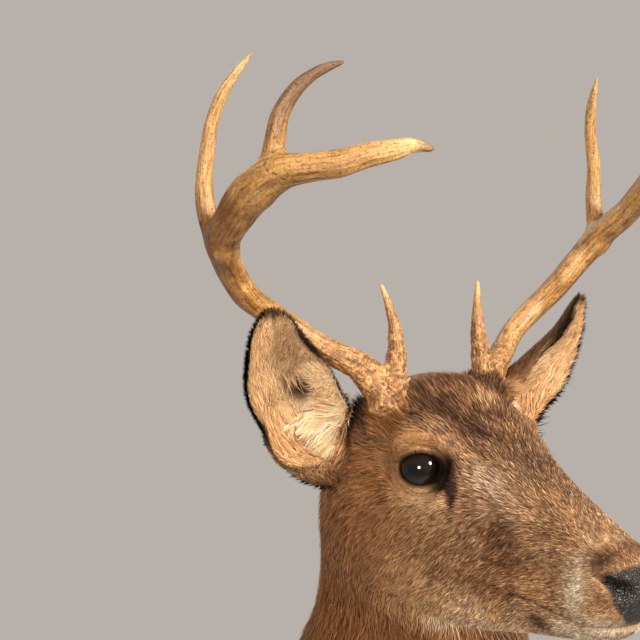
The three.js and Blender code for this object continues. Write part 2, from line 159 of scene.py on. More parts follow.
# ------------------------------------------------------------------ head shape (as the solids)
STATIONS = np.array([
    [-110, 44, -97, 50, 56, 58, 56, 50],
    [-75, 57, -122, 52, 62, 62, 62, 56],
    [-42, 62, -134, 50, 64, 63, 62, 66],
    [-12, 51, -138, 49, 59, 62, 73, 66],
    [14, 39, -134, 46, 53, 57, 69, 60],
    [45, 27, -126, 42, 48, 49, 52, 45],
    [80, 12, -115, 36, 41, 40, 42, 34],
    [118, -4, -105, 30, 34, 34, 36, 32],
    [150, -16, -96, 27, 32, 34, 34, 32],
    [176, -25, -89, 26, 29, 31, 31, 30]], float)
FR = np.array([0, 0.3, 0.55, 0.78, 1.0])
top_of, bottom_of = spline(STATIONS[:, 0], STATIONS[:, 1]), spline(STATIONS[:, 0], STATIONS[:, 2])
widths = [spline(STATIONS[:, 0], STATIONS[:, 3 + i]) for i in range(5)]
front_of = spline([-110, -95, -86, -78, -72, -62, -48, -38, -30, -22, -10], [150, 160, 171, 177, 180, 185, 188, 187, 182, 172, 140])
FORMS = [
    ((4, 66, 24), (22, 16, 11), 4.5), ((-24, 62, 14), (15, 16, 16), 1.5), ((-8, 62, -22), (26, 18, 10), 3.0),
    ((-26, 62, -66), (34, 26, 34), 5.0), ((48, 50, -34), (22, 18, 20), 2.0), ((36, 50, -12), (15, 12, 9), -2.5),
    ((72, 44, -48), (22, 14, 20), -1.5), ((-50, 50, 50), (16, 16, 20), 12.5), ((-58, 62, 16), (14, 14, 14), -3.0),
    ((8, 0, 42), (26, 13, 14), -1.5), ((160, 30, -66), (14, 12, 9), 2.0)]
MOUTH_Z = spline([90, 110, 130, 150, 165, 180], [-73.5, -75, -76.5, -77, -75.5, -73])


def width_at(x, t):
    W = [f(x) for f in widths]
    m = [(W[min(4, i + 1)] - W[max(0, i - 1)]) / (FR[min(4, i + 1)] - FR[max(0, i - 1)]) for i in range(5)]
    t = np.clip(t, 0, 1)
    out = np.zeros_like(t)
    for i in range(4):
        h = FR[i + 1] - FR[i]
        u = (t - FR[i]) / h
        v = W[i] * (1 + 2 * u) * (1 - u) ** 2 + h * m[i] * u * (1 - u) ** 2 + W[i + 1] * u * u * (3 - 2 * u) + h * m[i + 1] * u * u * (u - 1)
        out = np.where((t >= FR[i]) & ((t < FR[i + 1]) | (i == 3)), v, out)
    return out


def bump(x, y, z, c, r):
    yy = np.abs(y) if c[1] else y
    return np.exp(-(((x - c[0]) / r[0]) ** 2 + ((yy - c[1]) / r[1]) ** 2 + ((z - c[2]) / r[2]) ** 2))


def head_field(P, detail=False):
    x, y, z = P[..., 0], P[..., 1], P[..., 2]
    top, bot = top_of(x), bottom_of(x)
    H = top - bot
    t = (z - bot) / H
    e = 2 * t - 1
    S = width_at(x, t)
    g = (y / S) ** 2 + np.abs(e) ** 4
    slope = np.hypot(2 * y / S ** 2, 8 * np.abs(e) ** 3 / H)
    d = (g - 1) / np.maximum(slope, 2 / np.maximum(S, 20))
    for c, r, h in FORMS:
        d = d - h * bump(x, y, z, c, r)
    d = smax(d, x - (front_of(z) - y * y / 95), 9.0)
    if detail:
        ay = np.abs(y)
        d = smax(d, x - (front_of(z) - y * y / 60), 8.0)
        # lips: a groove along the mouth, the upper lip standing over it
        zm = MOUTH_Z(x)
        along = sstep(x, 88, 100)
        d = d + along * 2.6 * np.exp(-((z - zm) / 1.5) ** 2)
        d = d - along * (1.5 * np.exp(-((z - zm - 7) / 6.5) ** 2) + 0.9 * np.exp(-((z - zm + 6) / 5.0) ** 2))
        # nostrils: a comma on each side of the pad, and the groove between them
        nx, nz = x - 178, z + 44
        d = d + 11.0 * np.exp(-((nx / 9.0) ** 2 + ((ay - 17.0 - 0.30 * nz) / 5.4) ** 2 + ((nz + 0.10 * (ay - 17)) / 5.2) ** 2))
        d = d + 6.0 * np.exp(-(((x - 170) / 8.0) ** 2 + ((ay - 25) / 5.0) ** 2 + ((z + 39) / 3.0) ** 2))
        d = d - 2.4 * np.exp(-(((x - 178) / 9) ** 2 + ((ay - 20) / 9.0) ** 2 + ((z + 34) / 4.6) ** 2))
        d = d - 1.6 * np.exp(-(((x - 174) / 9) ** 2 + ((ay - 27) / 3.6) ** 2 + ((z + 49) / 6.5) ** 2))
        d = d + 1.6 * np.exp(-((y / 1.5) ** 2 + ((z + 58) / 12.0) ** 2)) * sstep(x, 165, 178)
        # nasal bone edges and cheek ridge
        d = d - 1.1 * np.exp(-(((z - (top_of(x) - 9)) / 5.0) ** 2 + ((ay - 22) / 7.0) ** 2)) * sstep(x, 30, 60) * (1 - sstep(x, 130, 160))
        d = d - 1.6 * np.exp(-(((z + 24 + 0.30 * (x - 20)) / 7.0) ** 2)) * sstep(x, 8, 30) * (1 - sstep(x, 60, 100)) * sstep(ay, 28, 40)
        # tear gland: a slit running down from the front corner of the eye
        gx, gz = x - 29, z + 14
        a, b = 0.42 * gx - 0.907 * gz, 0.907 * gx + 0.42 * gz
        d = d + 3.4 * np.exp(-((a / 11.0) ** 2 + (b / 2.1) ** 2)) * sstep(ay, 30, 38)
        d = d - 1.4 * np.exp(-(((a) / 13.0) ** 2 + ((b - 5.5) / 3.2) ** 2)) * sstep(ay, 30, 38)
        # fold over the upper lid
        q = np.hypot((x - 4) / 27.0, (z - 2) / 19.0)
        d = d + 0.9 * np.exp(-((q - 1.0) / 0.085) ** 2) * sstep(z, 4, 12) * sstep(ay, 34, 44)
    return smax(d, -x - 104, 22.0)


# ------------------------------------------------------------------ sections of the body (as the solids)
BOARD_Y = -(BOARD_THICK + GAP)
P1 = row([X0, 0, -195])
in_neck = unit([0, BOARD_Y - P1[1], WITHERS_Z - P1[2]])
nN = np.cross([1, 0, 0], in_neck)
nN = -nN if nN[2] < 0 else nN
L1 = unit(np.cross(fwd, nN))
L1 = -L1 if L1 @ lft < 0 else L1
head_c = row([X0, 0, -36])
neck_c = P1 + in_neck * 143
neck_c[0] = -6.0
_q = head_c - P1
A0s = _q @ L1
_q = _q - A0s * L1
A0r = np.linalg.norm(_q)
A0e = _q / A0r
_q = neck_c - P1
A1s = _q @ L1
_q = _q - A1s * L1
A1r = np.linalg.norm(_q)
A1e = _q / A1r
swing = math.acos(A0e @ A1e) * np.sign(np.cross(A0e, A1e) @ L1)
lat0 = math.atan2(lft @ A0e, lft @ L1)
lat1 = math.atan2(A1e[0], L1[0])
_fw = np.array([0, neck_c[1] - BOARD_Y, neck_c[2] - WITHERS_Z])
swing2 = math.atan2(-_fw[1], -_fw[2])
N9 = [0, 0.25, 0.5, 0.75, 1, 1.25, 1.5, 1.75, 2]
half_width = spline(N9, [60, 86, 94, 95, 97, 104, 124, 150, BOARD_HALF_WIDTH])
dorsal = spline(N9, [52, 80, 86, 84, 88, 114, 150, 194, BOARD_TOP + 10])
ventral = spline(N9, [60, 86, 94, 94, 97, 122, 156, 198, -BOARD_BOTTOM - 10])
reach = spline([1, 1.25, 1.5, 1.75, 2], [np.linalg.norm(_fw), 211, 240, 288, WITHERS_Z + 10])
egg = spline([0, 1, 1.5, 2], [0, 0.04, 0.12, 0.24])


def rot(v, k, a):
    return v * math.cos(a) + np.cross(k, v) * math.sin(a) + k * (k @ v) * (1 - math.cos(a))


def section(kind, t):
    """centre, lateral, dorsal, axial part, spread and neck number of a section"""
    if kind == "nose":
        a = t * math.pi / 2
        return row([CAP_X, 0, CAP_Z]), lft, upv, fwd * math.cos(a), math.sin(a), -1.0
    if kind == "head":
        return row([CAP_X + (X0 - CAP_X) * t, 0, CAP_Z + 18 * sstep(t)]), lft, upv, np.zeros(3), 1.0, -1.0
    if kind == "nape":
        s = sstep(t)
        e = rot(A0e, L1, swing * t)
        c = P1 + L1 * (A0s + (A1s - A0s) * s) + e * (A0r + (A1r - A0r) * s)
        b = lat0 + (lat1 - lat0) * s
        return c, L1 * math.cos(b) + e * math.sin(b), -L1 * math.sin(b) + e * math.cos(b), np.zeros(3), 1.0, t
    a = swing2 * (1 - t)
    d = np.array([0, -math.sin(a), -math.cos(a)])
    c = np.array([-6.0 * (1 - sstep(t)), BOARD_Y, WITHERS_Z]) + d * reach(1 + t)
    return c, np.array([1.0, 0, 0]), -d, np.zeros(3), 1.0, 1 + t


def body_grid(rows, nth, depth, detail=True):
    """points of the skin, (rows, nth, 3) in the row frame; depth is the coat's thickness per section"""
    th = np.linspace(0, 2 * math.pi, nth, endpoint=False) - math.pi / 2
    S = [section(k, t) for k, t in rows]
    C = np.array([s[0] for s in S])
    cs, sn = np.cos(th), np.sin(th)
    D = np.array([s[3] + s[4] * (cs[:, None] * s[1] + sn[:, None] * s[2]) for s in S])
    NT = np.array([s[5] for s in S])
    nt = np.clip(NT, 0, 2)[:, None]
    a = half_width(nt) * (1 - egg(nt) * sn[None])
    b = np.where(sn[None] > 0, dorsal(nt), ventral(nt))
    RN = (np.abs(cs[None] / a) ** 2.15 + np.abs(sn[None] / b) ** 2.15) ** (-1 / 2.15)
    RN = np.where(NT[:, None] < 0, 0, np.maximum(1, RN - depth[:, None]))
    use = NT < 1.001
    hc, hd, dp = head(C)[use], (D @ M)[use], depth[use][:, None]

    def F(r):
        return head_field(hc[:, None] + hd * r[..., None], detail) + dp

    n = int(use.sum())
    prev, cross = F(np.zeros((n, nth))), np.zeros((n, nth))
    for r in np.arange(8, 232, 8.0):
        cur = F(np.full((n, nth), r))
        cross = np.where((prev < 0) & (cur >= 0), r, cross)
        prev = cur
    has = cross > 0
    lo, hi = np.where(has, cross - 8, 0.0), np.where(has, cross, 0.0)
    for _ in range(11):
        mid = (lo + hi) / 2
        ins = F(mid) < 0
        lo, hi = np.where(ins, mid, lo), np.where(ins, hi, mid)
    RH = np.zeros_like(RN)
    RH[use] = np.where(has, (lo + hi) / 2, 0)
    R = np.where(NT[:, None] < 0, RH, smax(RN, RH, 22.0))
    P = C[:, None] + D * R[..., None]
    # ease head, neck and chest together, each section in its own plane
    soft = np.array([sstep(t, 0, 0.15) if k == "nape" else 1 - sstep(t, 0.2, 0.5) if k == "chest" else 0.0 for k, t in rows])
    plane = np.array([np.cross(s[1], s[2]) for s in S])
    w = 0.5 * soft[1:-1, None, None]
    for _ in range(26):
        q = (P[:-2] + P[2:]) / 2 - P[1:-1]
        q = q - (q * plane[1:-1, None]).sum(-1, keepdims=True) * plane[1:-1, None]
        P[1:-1] += w * q
    return P, NT


def grid_normals(P):
    du = np.roll(P, -1, 1) - np.roll(P, 1, 1)
    dv = np.empty_like(P)
    dv[1:-1] = P[2:] - P[:-2]
    dv[0], dv[-1] = P[1] - P[0], P[-1] - P[-2]
    return unit(np.cross(dv, du))


NOSE, HEADS, NAPES, CHESTS = ((26, 116, 92, 74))
NTH = 256
rows = [("nose", (i + 0.6) / NOSE) for i in range(NOSE)] + [("head", i / HEADS) for i in range(HEADS)] + [("nape", i / NAPES) for i in range(NAPES)] + [("chest", i / CHESTS) for i in range(CHESTS + 1)]
ROWX = np.array([200 if k == "nose" else (CAP_X + (X0 - CAP_X) * t) if k == "head" else X0 for k, t in rows])
ROWN = np.array([t if k == "nape" else 1 + t if k == "chest" else 0.0 for k, t in rows])
coat_by_x = spline([-20, 40, 90, 130, 150, 165], [3.4, 2.6, 2.0, 1.4, 1.0, 0.3])
coat_by_n = spline([0, 0.25, 0.5, 1.0, 1.7, 2.0], [3.4, 5.0, 7.5, 9.0, 9.5, 5.0])
DEPTH = np.where(ROWX > X0 + 0.01, coat_by_x(ROWX), coat_by_n(ROWN))
P, NT = body_grid(rows, NTH, DEPTH)
log("skin grid", P.shape)

# ------------------------------------------------------------------ eye and lids
EA = unit(EYE_AXIS)
E1 = unit(np.array([1, 0, -0.1]) - EA * (EA @ np.array([1, 0, -0.1])))  # towards the nose
E2 = -np.cross(EA, E1)  # up
LID_TILT = 9 * rad
# half angle of the opening all round: rear, lower rear, below, lower front, front, upper front, above, upper rear
_la = [(-180, 49), (-150, 44), (-120, 37), (-90, 34), (-60, 36), (-30, 44), (0, 57), (25, 66), (50, 61), (75, 51), (100, 44), (125, 41.5), (150, 44), (180, 49)]
lid_open = spline([-210, -205] + [a for a, _ in _la] + [205, 210], [46, 46] + [v for _, v in _la] + [46, 46])


def eye_coords(H):
    """head point (y outward) to forward, up and outward distances from the eye's centre"""
    q = H - EYE_AT
    return q @ E1, q @ E2, q @ EA


def lid_angle(phi):
    """angle from the eye's axis to the lid margin"""
    a = np.mod(np.asarray(phi) / rad + 180, 360) - 180
    return lid_open(a) * rad


def skin_height(p, q, depth=3.0):
    base = EYE_AT + p[..., None] * E1 + q[..., None] * E2
    lo, hi = np.full(p.shape, -40.0), np.full(p.shape, 40.0)
    for _ in range(22):
        m = (lo + hi) / 2
        ins = head_field(base + m[..., None] * EA, True) + depth < 0
        lo, hi = np.where(ins, m, lo), np.where(ins, hi, m)
    return lo


LID_OUT = 7 * rad
LID_R = EYE_R + 2.0


def lid_reach(phi):
    c = np.cos(phi)
    return 11 + 5.0 * np.clip(c, 0, 1) ** 2 + 1.5 * np.clip(-c, 0, 1) ** 2


def gland_and_pit_shade_at(phi, t):
    """how much of the dark front corner of the eye covers a place on the lids: the gland's dark skin and painted shade
    in the pit there
    """
    a = np.mod(phi + math.pi, 2 * math.pi) - math.pi
    out = 0.28 + 0.42 * np.exp(-((a - 0.12) / 0.42) ** 2)
    return np.exp(-((a - 0.04) / np.where(a < 0.04, 0.58, 0.90)) ** 4) * (1 - sstep(t, out, out + 0.24))


def lid_height(p, q):
    """height of the lid's outer surface over the plane through the eye's centre"""
    phi, rho = np.arctan2(q, p), np.hypot(p, q)
    al = lid_angle(phi) + LID_OUT
    re, he = LID_R * np.sin(al), LID_R * np.cos(al)
    t = np.clip((rho - re) / lid_reach(phi), 0, 1)
    hs = skin_height(p, q)
    wrap = np.sqrt(np.maximum(LID_R ** 2 - np.minimum(rho, LID_R * 0.985) ** 2, 0))
    start = np.where(rho > re, he * (1 - sstep(t, 0, 0.6)) + wrap * sstep(t, 0, 0.6), he)
    h = start + (hs - start) * sstep(t)
    fold = 0.9 * np.exp(-((t - 0.30) / 0.10) ** 2) - 0.7 * np.exp(-((t - 0.52) / 0.13) ** 2)
    return h - fold * sstep(np.sin(phi), -0.2, 0.7) - 0.6 * fold * sstep(-np.sin(phi), 0.1, 0.9), rho, re, phi, t


# sink the skin under the lids
H = head(P)
for s in (-1, 1):
    Hs = H * np.array([1, s, 1])
    p, q, h = eye_coords(Hs)
    near = (np.hypot(p, q) < 42) & (h > -14) & (Hs[..., 1] > 20) & (ROWX[:, None] < 90)
    pn, qn, hn = p[near], q[near], h[near]
    lh, rho, re, phi, t = lid_height(pn, qn)
    under = lh - 0.5 - 1.6 * sstep(1 - t, 0.0, 0.25)
    inball = np.sqrt(np.maximum((EYE_R - 2.5) ** 2 - rho ** 2, 0))
    under = np.where(rho < re, np.minimum(lh - 2.2, inball + 0 * lh), under)
    new = np.where(t < 1, np.minimum(hn, under), hn)
    Hn = H[near]
    Hn = Hn + ((new - hn)[:, None] * EA) * np.array([1, s, 1])
    H[near] = Hn
P = row(H)
N = grid_normals(P)
if ((N[HEADS + NOSE] * (P[HEADS + NOSE] - P[HEADS + NOSE].mean(0))).sum(-1).mean()) < 0:
    N, FLIP = -N, True
else:
    FLIP = False
PH, NH = head(P), N @ M

# ------------------------------------------------------------------ colours and markings


def lin(c):
    c = np.asarray(c, float) / 255.0
    return np.where(c <= 0.04045, c / 12.92, ((c + 0.055) / 1.055) ** 2.4)


FACE, CROWN, CHEEK, NECK, BRISKET = (162, 120, 84), (124, 84, 54), (146, 98, 59), (140, 92, 54), (98, 72, 52)
PALE, CREAM, SNOW, TAN, DARK, SOOT = (196, 158, 122), (216, 180, 134), (246, 221, 190), (196, 142, 90), (88, 54, 32), (40, 24, 14)
# name of the place: centre (x, |y|, z) and radii in the head frame, colour, strength
MARKS = [
    ((-45, 0, 56), (48, 52, 30), CROWN, 0.8),  # crown
    ((-38, 0, 57), (13, 30, 10), (84, 54, 34), 0.65),  # crest between the antlers
    ((-40, 40, 46), (17, 15, 15), (70, 44, 28), 0.85),  # before the antlers
    ((62, 0, 18), (36, 25, 14), (100, 75, 56), 0.9),  # bridge
    ((40, 16, 24), (18, 16, 12), (126, 92, 64), 0.6),
    ((105, 0, 2), (60, 15, 16), (140, 106, 78), 0.65),  # bridge of the nose
    ((58, 40, 4), (26, 12, 15), (188, 158, 132), 0.85),  # beside the bridge
    ((76, 40, -12), (22, 12, 12), (178, 146, 116), 0.5),
    ((-6, 60, 22), (18, 14, 6.5), TAN, 0.95),  # over the upper lid
    ((4, 66, -24), (22, 14, 8), (216, 170, 124), 0.85),  # under the eye
    ((17, 61, -20), (9, 10, 7), (218, 174, 130), 0.5),
    ((18, 47, 19), (8, 9, 6), (196, 154, 116), 0.5),  # over the front corner
    ((-54, 60, 7), (12, 12, 9), (172, 126, 84), 0.5),
    ((-74, 68, -28), (16, 14, 14), (170, 124, 84), 0.4),
    ((66, 16, 12), (14, 12, 10), (132, 98, 70), 0.45),
    ((60, 46, -20), (10, 10, 7), (182, 146, 112), 0.5),
    ((-34, 66, 4), (9, 14, 12), TAN, 0.25),
    ((44, 50, -45), (20, 14, 13), (122, 86, 59), 0.6),
    ((78, 38, -54), (22, 16, 13), DARK, 0.6),  # dark patch of the muzzle
    ((72, 41, -32), (13, 13, 13), (86, 52, 32), 0.62),
    ((88, 36, -75), (3.4, 12, 6), (70, 41, 25), 0.8),  # corner of the mouth
    ((60, 50, -78), (30, 20, 12), (130, 88, 55), 0.7),
    ((106, 33, -66), (16, 14, 9), TAN, 0.6),
    ((14, 52, -68), (24, 16, 20), (130, 94, 63), 0.5),
    ((148, 32, -52), (11, 17, 25), (250, 228, 196), 0.88),  # white band behind the nose
    ((172, 20, -74), (16, 20, 8), SNOW, 0.85),  # upper lip
    ((147, 0, -16), (7, 30, 14), (196, 160, 122), 0.5),
    ((160, 14, -28), (9, 22, 8), SOOT, 0.85),  # rim of the nose
    ((104, 0, -112), (46, 24, 13), SNOW, 0.95),  # chin
    ((140, 20, -90), (36, 26, 11), SNOW, 0.9),  # lower lip
    ((168, 0, -92), (20, 26, 14), SNOW, 0.95),
    ((20, 12, -130), (60, 26, 12), (228, 174, 126), 0.9),  # underside of the jaw
    ((78, 5, -114), (46, 22, 12), SNOW, 0.95),
    ((96, 28, -100), (24, 14, 9), (212, 166, 114), 0.6),
    ((112, 30, -92), (10, 12, 9), SOOT, 0.75),  # spot beside the mouth
    ((66, 38, -108), (36, 20, 15), (220, 164, 114), 0.9),  # edge of the jaw
    ((24, 46, -120), (38, 22, 17), (212, 156, 108), 0.85),
    ((-24, 52, -120), (32, 22, 18), (188, 140, 94), 0.7),
    ((-78, 50, 16), (19, 17, 18), SOOT, 0.95),  # tuft between ear and antler
    ((-104, 56, -4), (14, 16, 16), (206, 162, 114), 0.65),  # before the ear
    ((-60, 74, -30), (15, 14, 22), TAN, 0.25),  # under the ear
    ((-95, 66, -10), (16, 18, 16), TAN, 0.5),
]
# the same, on one side of the middle only (signed y)
SIDED = [
    ((-16, 33, 43), (15, 13, 11), (62, 38, 25), 0.9),
    ((-16, -33, 43), (15, 13, 11), (62, 38, 25), 0.95),
    ((2, 0, 42), (13, 26, 9), (92, 60, 40), 0.7),
    ((-16, 22, 48), (12, 17, 8), (206, 158, 112), 0.8),  # pale whorl left of the middle
    ((-26, -8, 52), (9, 12, 8), (150, 108, 72), 0.5),
    ((-3, -43, 34), (10, 9, 7), (172, 132, 98), 0.75),
    ((-3, 43, 34), (10, 9, 7), (160, 120, 88), 0.6),
    ((18, -22, 32), (20, 14, 11), (74, 48, 33), 0.85),  # dark streak of the forehead
    ((34, -6, 28), (16, 10, 10), (96, 64, 42), 0.6),
    ((16, 24, 33), (16, 13, 10), (108, 74, 46), 0.6),
    ((24, 10, 31), (10, 8, 8), (196, 140, 78), 0.45),  # golden middle
    ((-24, -47, 38), (9, 8, 8), (66, 42, 28), 0.8),
    ((-20, -20, 49), (8, 10, 7), (76, 50, 33), 0.6),
    ((4, -24, 37), (12, 12, 9), (70, 45, 30), 0.7),
]
# laid over everything: the dark skin of the tear gland at the front corner of the eye, with painted shade in the pit
# there and in the furrow under it
GLAND_AND_PIT_SHADE = [
    ((19, 55, 9), (7, 13, 9), (34, 18, 8), 1.0),
    ((25, 52, 2), (6.5, 12, 11), (32, 17, 8), 1.0),
    ((30, 53, -8), (4.2, 12, 9), (34, 18, 8), 1.0),
    ((32.5, 53, -17), (3.2, 12, 9), (46, 25, 12), 0.95),
]


def marking(h, n, nn):
    """colour (linear) of the coat at head-frame points h; nn is the neck number, 0 on the head"""
    q = np.array(h, float)
    ay = np.abs(q[:, 1])
    c = np.tile(np.array(FACE, float), (len(q), 1))

    def mix(w, col):
        nonlocal c
        c = c + (np.array(col, float) - c) * w[:, None]

    mix(sstep(-q[:, 0], -35, 45) * sstep(-q[:, 2], -30, 20) * 0.9, CHEEK)
    mix(sstep(nn, 0.1, 0.75), NECK)
    r = row(q)
    mix(sstep(nn, 0.7, 1.5) * sstep(-(r[:, 2]), -120, 120) * 0.8, BRISKET)
    mix(sstep(nn, 0.8, 1.4) * 0.3, (118, 88, 64))
    mix(sstep(nn, 0.3, 1.0) * sstep(n[:, 2], 0.35, 0.95) * 0.45, DARK)
    # white patch of the upper throat
    down = sstep(-n[:, 2], 0.25, 0.8)
    lat = np.abs(r[:, 0] - 4)
    low = sstep(-n[:, 2], -0.05, 0.5)
    # painted shade: where the neck faces +x, towards the key lamp, it is painted greyer and darker against the lamp's
    # warm light
    mix(sstep(nn, 0.25, 0.8) * sstep(n[:, 0], -0.15, 0.6) * 0.6, (120, 92, 69))
    mix((1 - sstep(nn, 0.50, 0.90)) * low * (1 - sstep(lat, 40, 85)) * 0.8 * (q[:, 0] < 60), (204, 156, 106))
    mix((1 - sstep(nn, 0.50, 0.85)) * down * (1 - sstep(lat, 8, 34)) * 0.92 * (q[:, 0] < 60), SNOW)
    mix(np.exp(-((q[:, 2] - MOUTH_Z(q[:, 0])) / 1.9) ** 2) * sstep(q[:, 0], 84, 94) * (nn < 0.1) * 0.75, (72, 48, 34))
    w_noise = fbm(q, 9.0, 5)
    # the third list, at the eye's front corner, is partly the gland's dark skin and partly painted shade of the pit and
    # furrow
    for marks, yy in ((MARKS, ay), (SIDED, q[:, 1]), (GLAND_AND_PIT_SHADE, ay)):
        for cc, rr, col, k in marks:
            d = ((q[:, 0] - cc[0]) / rr[0]) ** 2 + ((yy - cc[1]) / rr[1]) ** 2 + ((q[:, 2] - cc[2]) / rr[2]) ** 2
            w = k * np.exp(-(d ** (1.6 if marks is GLAND_AND_PIT_SHADE else 1.0)) * (1 + 0.25 * w_noise)) * (nn < 0.5)
            mix(np.clip(w, 0, 1), col)
    return lin(np.clip(c, 8, 250))


# ------------------------------------------------------------------ mesh helpers
def mesh_object(name, V, faces, col=None, normals=None, uv=None, mats=(), fmat=None, smooth=True):
    V = np.asarray(V, float) * 0.001
    faces = [np.asarray(f) for f in faces if len(f)]
    idx = np.concatenate([f.ravel() for f in faces]).astype(np.int32)
    cnt = np.concatenate([np.full(len(f), f.shape[1]) for f in faces])
    start = np.concatenate([[0], np.cumsum(cnt)[:-1]]).astype(np.int32)
    me = bpy.data.meshes.new(name)
    me.vertices.add(len(V))
    me.vertices.foreach_set("co", V.astype(np.float32).ravel())
    me.loops.add(len(idx))
    me.loops.foreach_set("vertex_index", idx)
    me.polygons.add(len(cnt))
    me.polygons.foreach_set("loop_start", start)
    me.polygons.foreach_set("use_smooth", np.full(len(cnt), smooth))
    for m in mats:
        me.materials.append(m)
    if fmat is not None:
        me.polygons.foreach_set("material_index", np.asarray(fmat, np.int32))
    me.update(calc_edges=True)
    if col is not None:
        at = me.color_attributes.new("Col", "FLOAT_COLOR", "POINT")
        at.data.foreach_set("color", np.concatenate([col, np.ones((len(col), 1))], 1).astype(np.float32).ravel())
    if uv is not None:
        layer = me.uv_layers.new(name="OFBake")
        layer.data.foreach_set("uv", np.asarray(uv, np.float32)[idx].ravel())
    if normals is not None:
        me.normals_split_custom_set_from_vertices(unit(normals).astype(np.float32).tolist())
    ob = bpy.data.objects.new(name, me)
    bpy.context.scene.collection.objects.link(ob)
    return ob


def grid_faces(R, C, wrap=True, flip=False, base=0):
    i = np.arange(R - 1)[:, None]
    j = np.arange(C if wrap else C - 1)[None]
    a, b = i * C + j, i * C + (j + 1) % C
    f = np.stack([a, b, b + C, a + C], -1).reshape(-1, 4) + base
    return f[:, ::-1] if flip else f


def volume(V, faces):
    v = 0.0
    for f in faces:
        for k in range(1, f.shape[1] - 1):
            v += np.einsum("ij,ij->i", V[f[:, 0]], np.cross(V[f[:, k]], V[f[:, k + 1]])).sum()
    return v / 6


# ------------------------------------------------------------------ materials
def material(name, build):
    m = bpy.data.materials.new(name)
    m.use_nodes = True
    nt = m.node_tree
    for nd in list(nt.nodes):
        nt.nodes.remove(nd)
    out = nt.nodes.new("ShaderNodeOutputMaterial")
    bs = nt.nodes.new("ShaderNodeBsdfPrincipled")
    nt.links.new(bs.outputs[0], out.inputs[0])
    build(nt, bs)
    return m


def node(nt, kind, **kw):
    n = nt.nodes.new(kind)
    for k, v in kw.items():
        if k.startswith("_"):
            setattr(n, k[1:], v)
        else:
            n.inputs[int(k[1:]) if k[0] == "i" and k[1:].isdigit() else k.replace("_", " ")].default_value = v
    return n


def noise_node(nt, scale, detail=3.0, rough=0.6, stretch=None):
    tc = nt.nodes.new("ShaderNodeTexCoord")
    src = tc.outputs["Object"]
    if stretch:
        mp = nt.nodes.new("ShaderNodeMapping")
        mp.inputs["Scale"].default_value = stretch
        nt.links.new(src, mp.inputs["Vector"])
        src = mp.outputs[0]
    n = nt.nodes.new("ShaderNodeTexNoise")
    n.inputs["Scale"].default_value = scale
    n.inputs["Detail"].default_value = detail
    n.inputs["Roughness"].default_value = rough
    nt.links.new(src, n.inputs["Vector"])
    return n


def ramp(nt, src, stops):
    r = nt.nodes.new("ShaderNodeValToRGB")
    el = r.color_ramp.elements
    while len(el) < len(stops):
        el.new(0.5)
    for e, (p, c) in zip(el, stops):
        e.position = p
        e.color = (*c, 1) if len(c) == 3 else c
    nt.links.new(src, r.inputs[0])
    return r


def col_attr(nt):
    a = nt.nodes.new("ShaderNodeVertexColor")
    a.layer_name = "Col"
    return a


def bump_node(nt, bs, height, strength, distance):
    b = nt.nodes.new("ShaderNodeBump")
    b.inputs["Strength"].default_value = strength
    b.inputs["Distance"].default_value = distance
    nt.links.new(height, b.inputs["Height"])
    nt.links.new(b.outputs[0], bs.inputs["Normal"])
    return b


def tinted(nt, bs, vary, scale):
    """base colour: the painted markings, varied a little in value by noise"""
    a = col_attr(nt)
    n = noise_node(nt, scale, 4.0, 0.65)
    r = ramp(nt, n.outputs["Fac"], [(0.25, (1 - vary,) * 3), (0.75, (1 + vary,) * 3)])
    mx = nt.nodes.new("ShaderNodeMix")
    mx.data_type = "RGBA"
    mx.blend_type = "MULTIPLY"
    mx.inputs["Factor"].default_value = 1.0
    nt.links.new(a.outputs["Color"], mx.inputs["A"])
    nt.links.new(r.outputs["Color"], mx.inputs["B"])
    nt.links.new(mx.outputs["Result"], bs.inputs["Base Color"])


def attr(nt, name):
    a = nt.nodes.new("ShaderNodeAttribute")
    a.attribute_name = name
    return a


def blend(nt, kind, fac, a, b):
    mx = nt.nodes.new("ShaderNodeMix")
    mx.data_type = "RGBA"
    mx.blend_type = kind
    if isinstance(fac, float):
        mx.inputs["Factor"].default_value = fac
    else:
        nt.links.new(fac, mx.inputs["Factor"])
    nt.links.new(a, mx.inputs["A"])
    nt.links.new(b, mx.inputs["B"])
    return mx.outputs["Result"]


def m_skin(nt, bs):
    tinted(nt, bs, 0.22, 420.0)
    bs.inputs["Roughness"].default_value = 0.8
    bs.inputs["Specular IOR Level"].default_value = 0.1
    n = noise_node(nt, 900.0, 3.0, 0.7)
    bump_node(nt, bs, n.outputs["Fac"], 0.6, 0.0006)


def m_coat(nt, bs):
    tinted(nt, bs, 0.14, 260.0)
    bs.inputs["Roughness"].default_value = 0.58
    bs.inputs["Specular IOR Level"].default_value = 0.13
    bs.inputs["Sheen Weight"].default_value = 0.01
    bs.inputs["Sheen Roughness"].default_value = 0.45
    n = noise_node(nt, 1500.0, 2.0, 0.6)
    bump_node(nt, bs, n.outputs["Fac"], 0.25, 0.0002)


def m_lid(nt, bs):
    tinted(nt, bs, 0.15, 600.0)
    bs.inputs["Roughness"].default_value = 0.7
    bs.inputs["Specular IOR Level"].default_value = 0.04
    n = noise_node(nt, 1400.0, 3.0, 0.6)
    bump_node(nt, bs, n.outputs["Fac"], 0.5, 0.0003)


